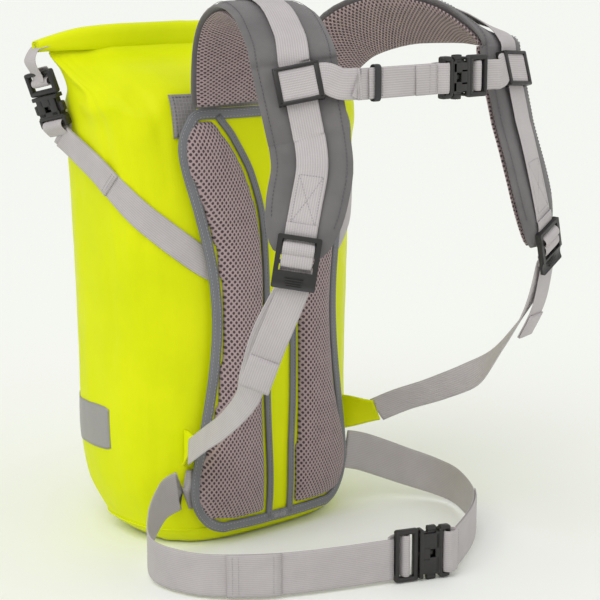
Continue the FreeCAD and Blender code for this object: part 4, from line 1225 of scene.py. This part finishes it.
def build_sternum_strap():
    left, right = slider_place("left"), slider_place("right")
    middle = (left.translation + right.translation) / 2
    line, height = middle.y - 27, middle.z
    place = axes_frame(Vector((38, line - 1, height)), Vector((1, 0, 0)), Vector((0, -1, 0)))
    build_buckle("sternum", WEBBING, place, "sternum_strap")
    ends = {"left": 38 - FEMALE - 1.5, "right": 38 + GAP + MALE + 1.0}
    for name, own, side in (("left", left, -1), ("right", right, 1)):
        turn = own.to_3x3()
        toward = 1 if (turn @ Vector((0, 1, 0))).x * side < 0 else -1
        on_plate = [own @ Vector((0, toward * y, 3.8)) for y in (-18, -6, 6, 21)]
        face = turn @ Vector((0, 0, 1))
        edge = on_plate[-1]
        level, end = Vector((edge.x - side * 24, line, height)), Vector((ends[name], line, height))
        settled = level - Vector((side * 6, 0, 0))
        route = on_plate + [Vector((edge.x - side * 12, (edge.y + line) / 2, height)), level, settled, end]
        faces = [face] * 4 + [(face + Vector((0, -1.2, 0))).normalized()] + [Vector((0, -1, 0))] * 3
        path = resample(route, 8)
        outward = [f.normalized() for f in resample(faces, 8)]
        for number, point in enumerate(path):
            place_along = number / len(path)
            point.z += 0.9 * noise.noise(Vector((place_along * 4, side, 0.5))) * smooth(0.4, 0.6, place_along)
        fix(ribbon(f"{name}_sternum_strap", path, outward, WEBBING, MATERIALS["webbing"]), "sternum_strap",
            "grey_webbing", f"{name}_sternum_webbing")
        bars = [((x, 0, 5.6), (3.0, WEBBING + 11, 2.2), 0.9) for x in (-13.6, 13.6)]
        bars += [((0, y, 5.6), (29.0, 4.2, 2.2), 0.9) for y in (-16.2, 16.2)]
        fix(moulding(f"{name}_slider_bars", bars, own, MATERIALS["acetal"]), "sternum_strap", "black_acetal")
    tail = [Vector((x, line - TAPE - 0.2 + dip, height)) for x, dip in
            ((ends["left"] - 1, 0.2), (-14, -0.5), (-32, -0.3), (-52, 0), (-60, -0.1), (-72, -0.3))]
    path = resample(tail, 6)
    outward = [Vector((0, -1, 0))] * len(path)
    fix(ribbon("sternum_strap_tail", path, outward, WEBBING - 0.3, MATERIALS["webbing"]), "sternum_strap",
        "grey_webbing",
        "sternum_webbing_tail")
    fold = ribbon("sternum_tail_fold", path[2:10], outward[2:10], WEBBING, MATERIALS["webbing"], lift=TAPE)
    fix(fold, "sternum_strap", "grey_webbing")
    rows = []
    for x in (-8.0, -58.0):
        face = line - 2 * TAPE - 0.5 - (TAPE if x > -20 else 0)
        rows.append(([Vector((x, face, height + z)) for z in (-11, -4, 4, 11)], [Vector((0, -1, 0))] * 4))
    fix(stitches("sternum_tail_stitches", rows, MATERIALS["thread"], 2.3, 1.8), "sternum_strap",
        "grey_webbing")
    ring = []
    for step in range(41):
        turn = 2 * math.pi * step / 40
        c, s = math.cos(turn), math.sin(turn)
        ring.append(Vector((-64, line - TAPE + 2.8 * math.copysign(abs(c) ** 0.5, c),
                            height + 13.6 * math.copysign(abs(s) ** 0.35, s))))
    faces = [Vector((0, p.y - (line - TAPE), (p.z - height) * 0.3)).normalized() for p in ring]
    fix(ribbon("sternum_elastic_keeper", ring, faces, 7.0, MATERIALS["elastic"], 1.1), "sternum_strap",
        "elastic",
        "sternum_keeper")
    local_ribbon("sternum_socket_loop", place, SOCKET_LOOP, WEBBING, MATERIALS["webbing"], "sternum_strap",
                 "grey_webbing")
    local_ribbon("sternum_plug_loop", place, PLUG_LOOP, WEBBING, MATERIALS["webbing"], "sternum_strap",
                 "grey_webbing")


# ---------------------------------------------------------------- adjusting webbing, tabs and hip belt
def build_adjusters():
    for name, side in SIDES:
        lock = lock_place(name)
        under = -LOCK_THICK / 2 - GAP - TAPE
        start = lock @ Vector((21.5, 0, under - TAPE - 2 * GAP))
        below = lock @ Vector((34, 0, under - 3 * TAPE))
        route = [start, below] + mirrored(ADJUSTER[name], side)
        face = lock.to_3x3() @ Vector((0, 0, 1))
        flat = Vector((side * 0.75, -0.2, 0.45)).normalized()
        faces = [face, face] + [face.lerp(flat, share).normalized() for share in (0.15, 0.35, 0.6, 0.85, 1.0,
                                                                                  1.0)]
        path = resample(route, 9)
        outward = [f.normalized() for f in resample(faces, 9)]
        webbing = ribbon(f"{name}_lower_webbing", path, outward, WEBBING, MATERIALS["webbing"])
        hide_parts(f"{name}_adjusting_webbing")
        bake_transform(webbing)

        hang = [lock @ Vector(p) for p in ((24, 0, under - 0.6), (33, 0, under - 0.9),
                                           (LOCK_LENGTH, 0, under - 2.5))]
        hang += mirrored(TAIL[name], side)
        path_down = resample(hang, 8)
        over = [face] * len(path_down)
        fix(ribbon(f"{name}_webbing_end", path_down, over, WEBBING, MATERIALS["webbing"]), f"{name}_lock",
            "grey_webbing", f"{name}_adjusting_tail")
        fix(ribbon(f"{name}_webbing_end_fold", path_down[-7:], over[-7:], WEBBING + 0.2, MATERIALS["webbing"],
                   lift=TAPE), f"{name}_lock", "grey_webbing")
        build_tab(name, side, path[-1], outward[-1])


def build_tab(name, side, end, face):
    """Welded anchor tab of the bag's cloth: wide on the bag, narrow at the webbing."""
    share = (TAB_HEIGHT - PANEL_BOTTOM) / (PANEL_TOP - PANEL_BOTTOM)
    root = back_point(side * (panel_edge(share) + 7), TAB_HEIGHT, 1.5)
    reach = root + (end - root) * 1.0
    vertices, uvs = [], []
    rows, columns = 14, 12
    for row in range(rows + 1):
        along = row / rows
        half = lerp(17.0, 13.4, smooth(0, 1, along))
        point = root + (reach - root) * along
        upright = Vector((0, 0, 1)) * (1 - along)
        level = face.cross(end - root).normalized() * -side
        across = (upright + level * (along + 0.02)).normalized()
        if across.z < 0:
            across = across * -1
        normal = across.cross(end - root).normalized()
        ring = [(2 * k / columns - 1, 0.9) for k in range(columns + 1)]
        ring += [(1 - 2 * k / columns, -0.9) for k in range(columns + 1)]
        for share_across, up in ring:
            bulge = 0.8 * (1 - share_across ** 2) * math.sin(math.pi * along)
            vertices.append(point + across * (half * share_across) + normal * (up + bulge))
            uvs.append((along * 0.04, half * share_across * MM))
    tab = new_piece(f"{name}_welded_tab", vertices, tube_faces(rows + 1, 2 * columns + 2),
                    MATERIALS["yellow"], uvs)
    fix(tab, "bag", "coated_yellow_fabric", f"{name}_anchor_tab")


def build_belt():
    mouth = Vector((14, -275, BELT_REST + 2.5))
    toward_male = Vector((-0.945, 0.327, 0))
    place = axes_frame(mouth, toward_male, Vector((-0.327, -0.945, 0)))
    build_buckle("hip", BELT, place, "hip_belt")
    ends = {"left": place @ Vector((GAP + MALE + 1.0, 0, 0)), "right": place @ Vector((-FEMALE - 1.5, 0, 0))}
    for name, side in SIDES:
        edge = panel_edge((ANCHOR_HEIGHT - PANEL_BOTTOM) / (PANEL_TOP - PANEL_BOTTOM))
        route = [back_point(side * (edge + 9), ANCHOR_HEIGHT, 6.0)] + mirrored(HIP[name], side)
        route.append(Vector((ends[name].x, ends[name].y, BELT_REST)))
        path = resample(route, 10)
        outward = [Vector((0, 0, 1)).cross(way).normalized() * side for way in tangents(path)]
        for number, point in enumerate(path):
            point.z += 0.7 * noise.noise(Vector((number * 0.06, side * 3, 0)))
        root = [back_point(side * (edge - 6), ANCHOR_HEIGHT + 1, 3.6),
                back_point(side * (edge + 1), ANCHOR_HEIGHT + 0.5, 4.6)]
        root_faces = [Vector((0, -1, 0)), Vector((side * 0.1, -1, 0)).normalized()]
        belt = ribbon(f"{name}_belt", root + path, root_faces + outward, BELT, MATERIALS["belt"],
                      lift=-TAPE / 2,
                      columns=12)
        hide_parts(f"{name}_hip_webbing")
        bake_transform(belt)
        part = slice(50, 59) if name == "left" else slice(50, 69)
        fix(ribbon(f"{name}_belt_fold", path[part], outward[part], BELT + 0.4, MATERIALS["belt"],
                   lift=TAPE / 2 + 0.1,
                   columns=12), "hip_belt", "grey_webbing", f"{name}_hip_webbing_fold")
        rows = []
        first, last = part.start + 1, part.stop - 2
        for index in (first, first + 1, last):
            across = (path[index + 1] - path[index - 1]).normalized().cross(outward[index])
            centre = path[index] + outward[index] * (TAPE / 2 + TAPE + 0.15)
            rows.append(([centre + across * s for s in (-17, -6, 6, 17)], [outward[index]] * 4))
        fix(stitches(f"{name}_belt_stitches", rows, MATERIALS["thread"], 2.4, 1.9, 0.36), "hip_belt",
            "grey_webbing")
    local_ribbon("hip_socket_loop", place, SOCKET_LOOP, BELT, MATERIALS["belt"], "hip_belt", "grey_webbing")
    local_ribbon("hip_plug_loop", place, PLUG_LOOP, BELT, MATERIALS["belt"], "hip_belt", "grey_webbing")


def finish_hidden():
    """The two stiffeners keep their CAD shape and get moulded sheet material."""
    for node in ("frame_board", "roll_stiffener"):
        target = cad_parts[node]
        target.data.materials.clear()
        target.data.materials.append(MATERIALS["sheet"])


# ---------------------------------------------------------------- floor, light and camera
def build_stage():
    low = cad_box[0]
    floor_shader = Shader("pale_floor", (0.925, 0.935, 0.905), 0.9, Specular_IOR_Level=0.1)
    floor_shader.bump(floor_shader.noise(floor_shader.coordinates(), 40.0, 2.0), 0.02, 0.001)
    reach, drop = 30000, low.z / MM - 0.3
    floor = new_piece("floor", [(-reach, -reach, drop), (reach, -reach, drop), (reach, reach, drop),
                                (-reach, reach, drop)],
                      [(0, 1, 2, 3)], floor_shader.material, smooth=False)

    world = bpy.data.worlds.new("studio")
    world.use_nodes = True
    world.node_tree.nodes["Background"].inputs["Color"].default_value = (0.975, 0.985, 0.96, 1)
    world.node_tree.nodes["Background"].inputs["Strength"].default_value = 0.68
    bpy.context.scene.world = world
    for name, direction, strength, angle in (("key", (0.75, 0.25, -0.95), 1.15, 50),
                                             ("fill", (-0.5, 0.85, -0.5), 0.35, 80)):
        lamp = bpy.data.lights.new(name, "SUN")
        lamp.energy = strength
        lamp.angle = math.radians(angle)
        sun = bpy.data.objects.new(name, lamp)
        sun.rotation_euler = Vector(direction).to_track_quat("-Z", "Y").to_euler()
        bpy.context.scene.collection.objects.link(sun)

    lens = bpy.data.cameras.new("camera")
    lens.lens, lens.sensor_width = 102.0, 36.0
    camera = bpy.data.objects.new("camera", lens)
    target = Vector((0.0643, -0.0540, 0.208))
    azimuth, elevation, distance = math.radians(-40), math.radians(12), 1.650
    back = Vector((math.sin(azimuth) * math.cos(elevation), -math.cos(azimuth) * math.cos(elevation),
                   math.sin(elevation)))
    camera.location = target + back * distance
    camera.rotation_euler = (-back).to_track_quat("-Z", "Y").to_euler()
    bpy.context.scene.collection.objects.link(camera)
    bpy.context.scene.camera = camera
    bpy.context.scene.view_settings.view_transform = "Standard"


build_stage()
build_bag()
build_roll()
build_panel()
build_band()
build_patch()
build_side_straps()
build_harness()
build_sternum_strap()
build_adjusters()
build_belt()
finish_hidden()
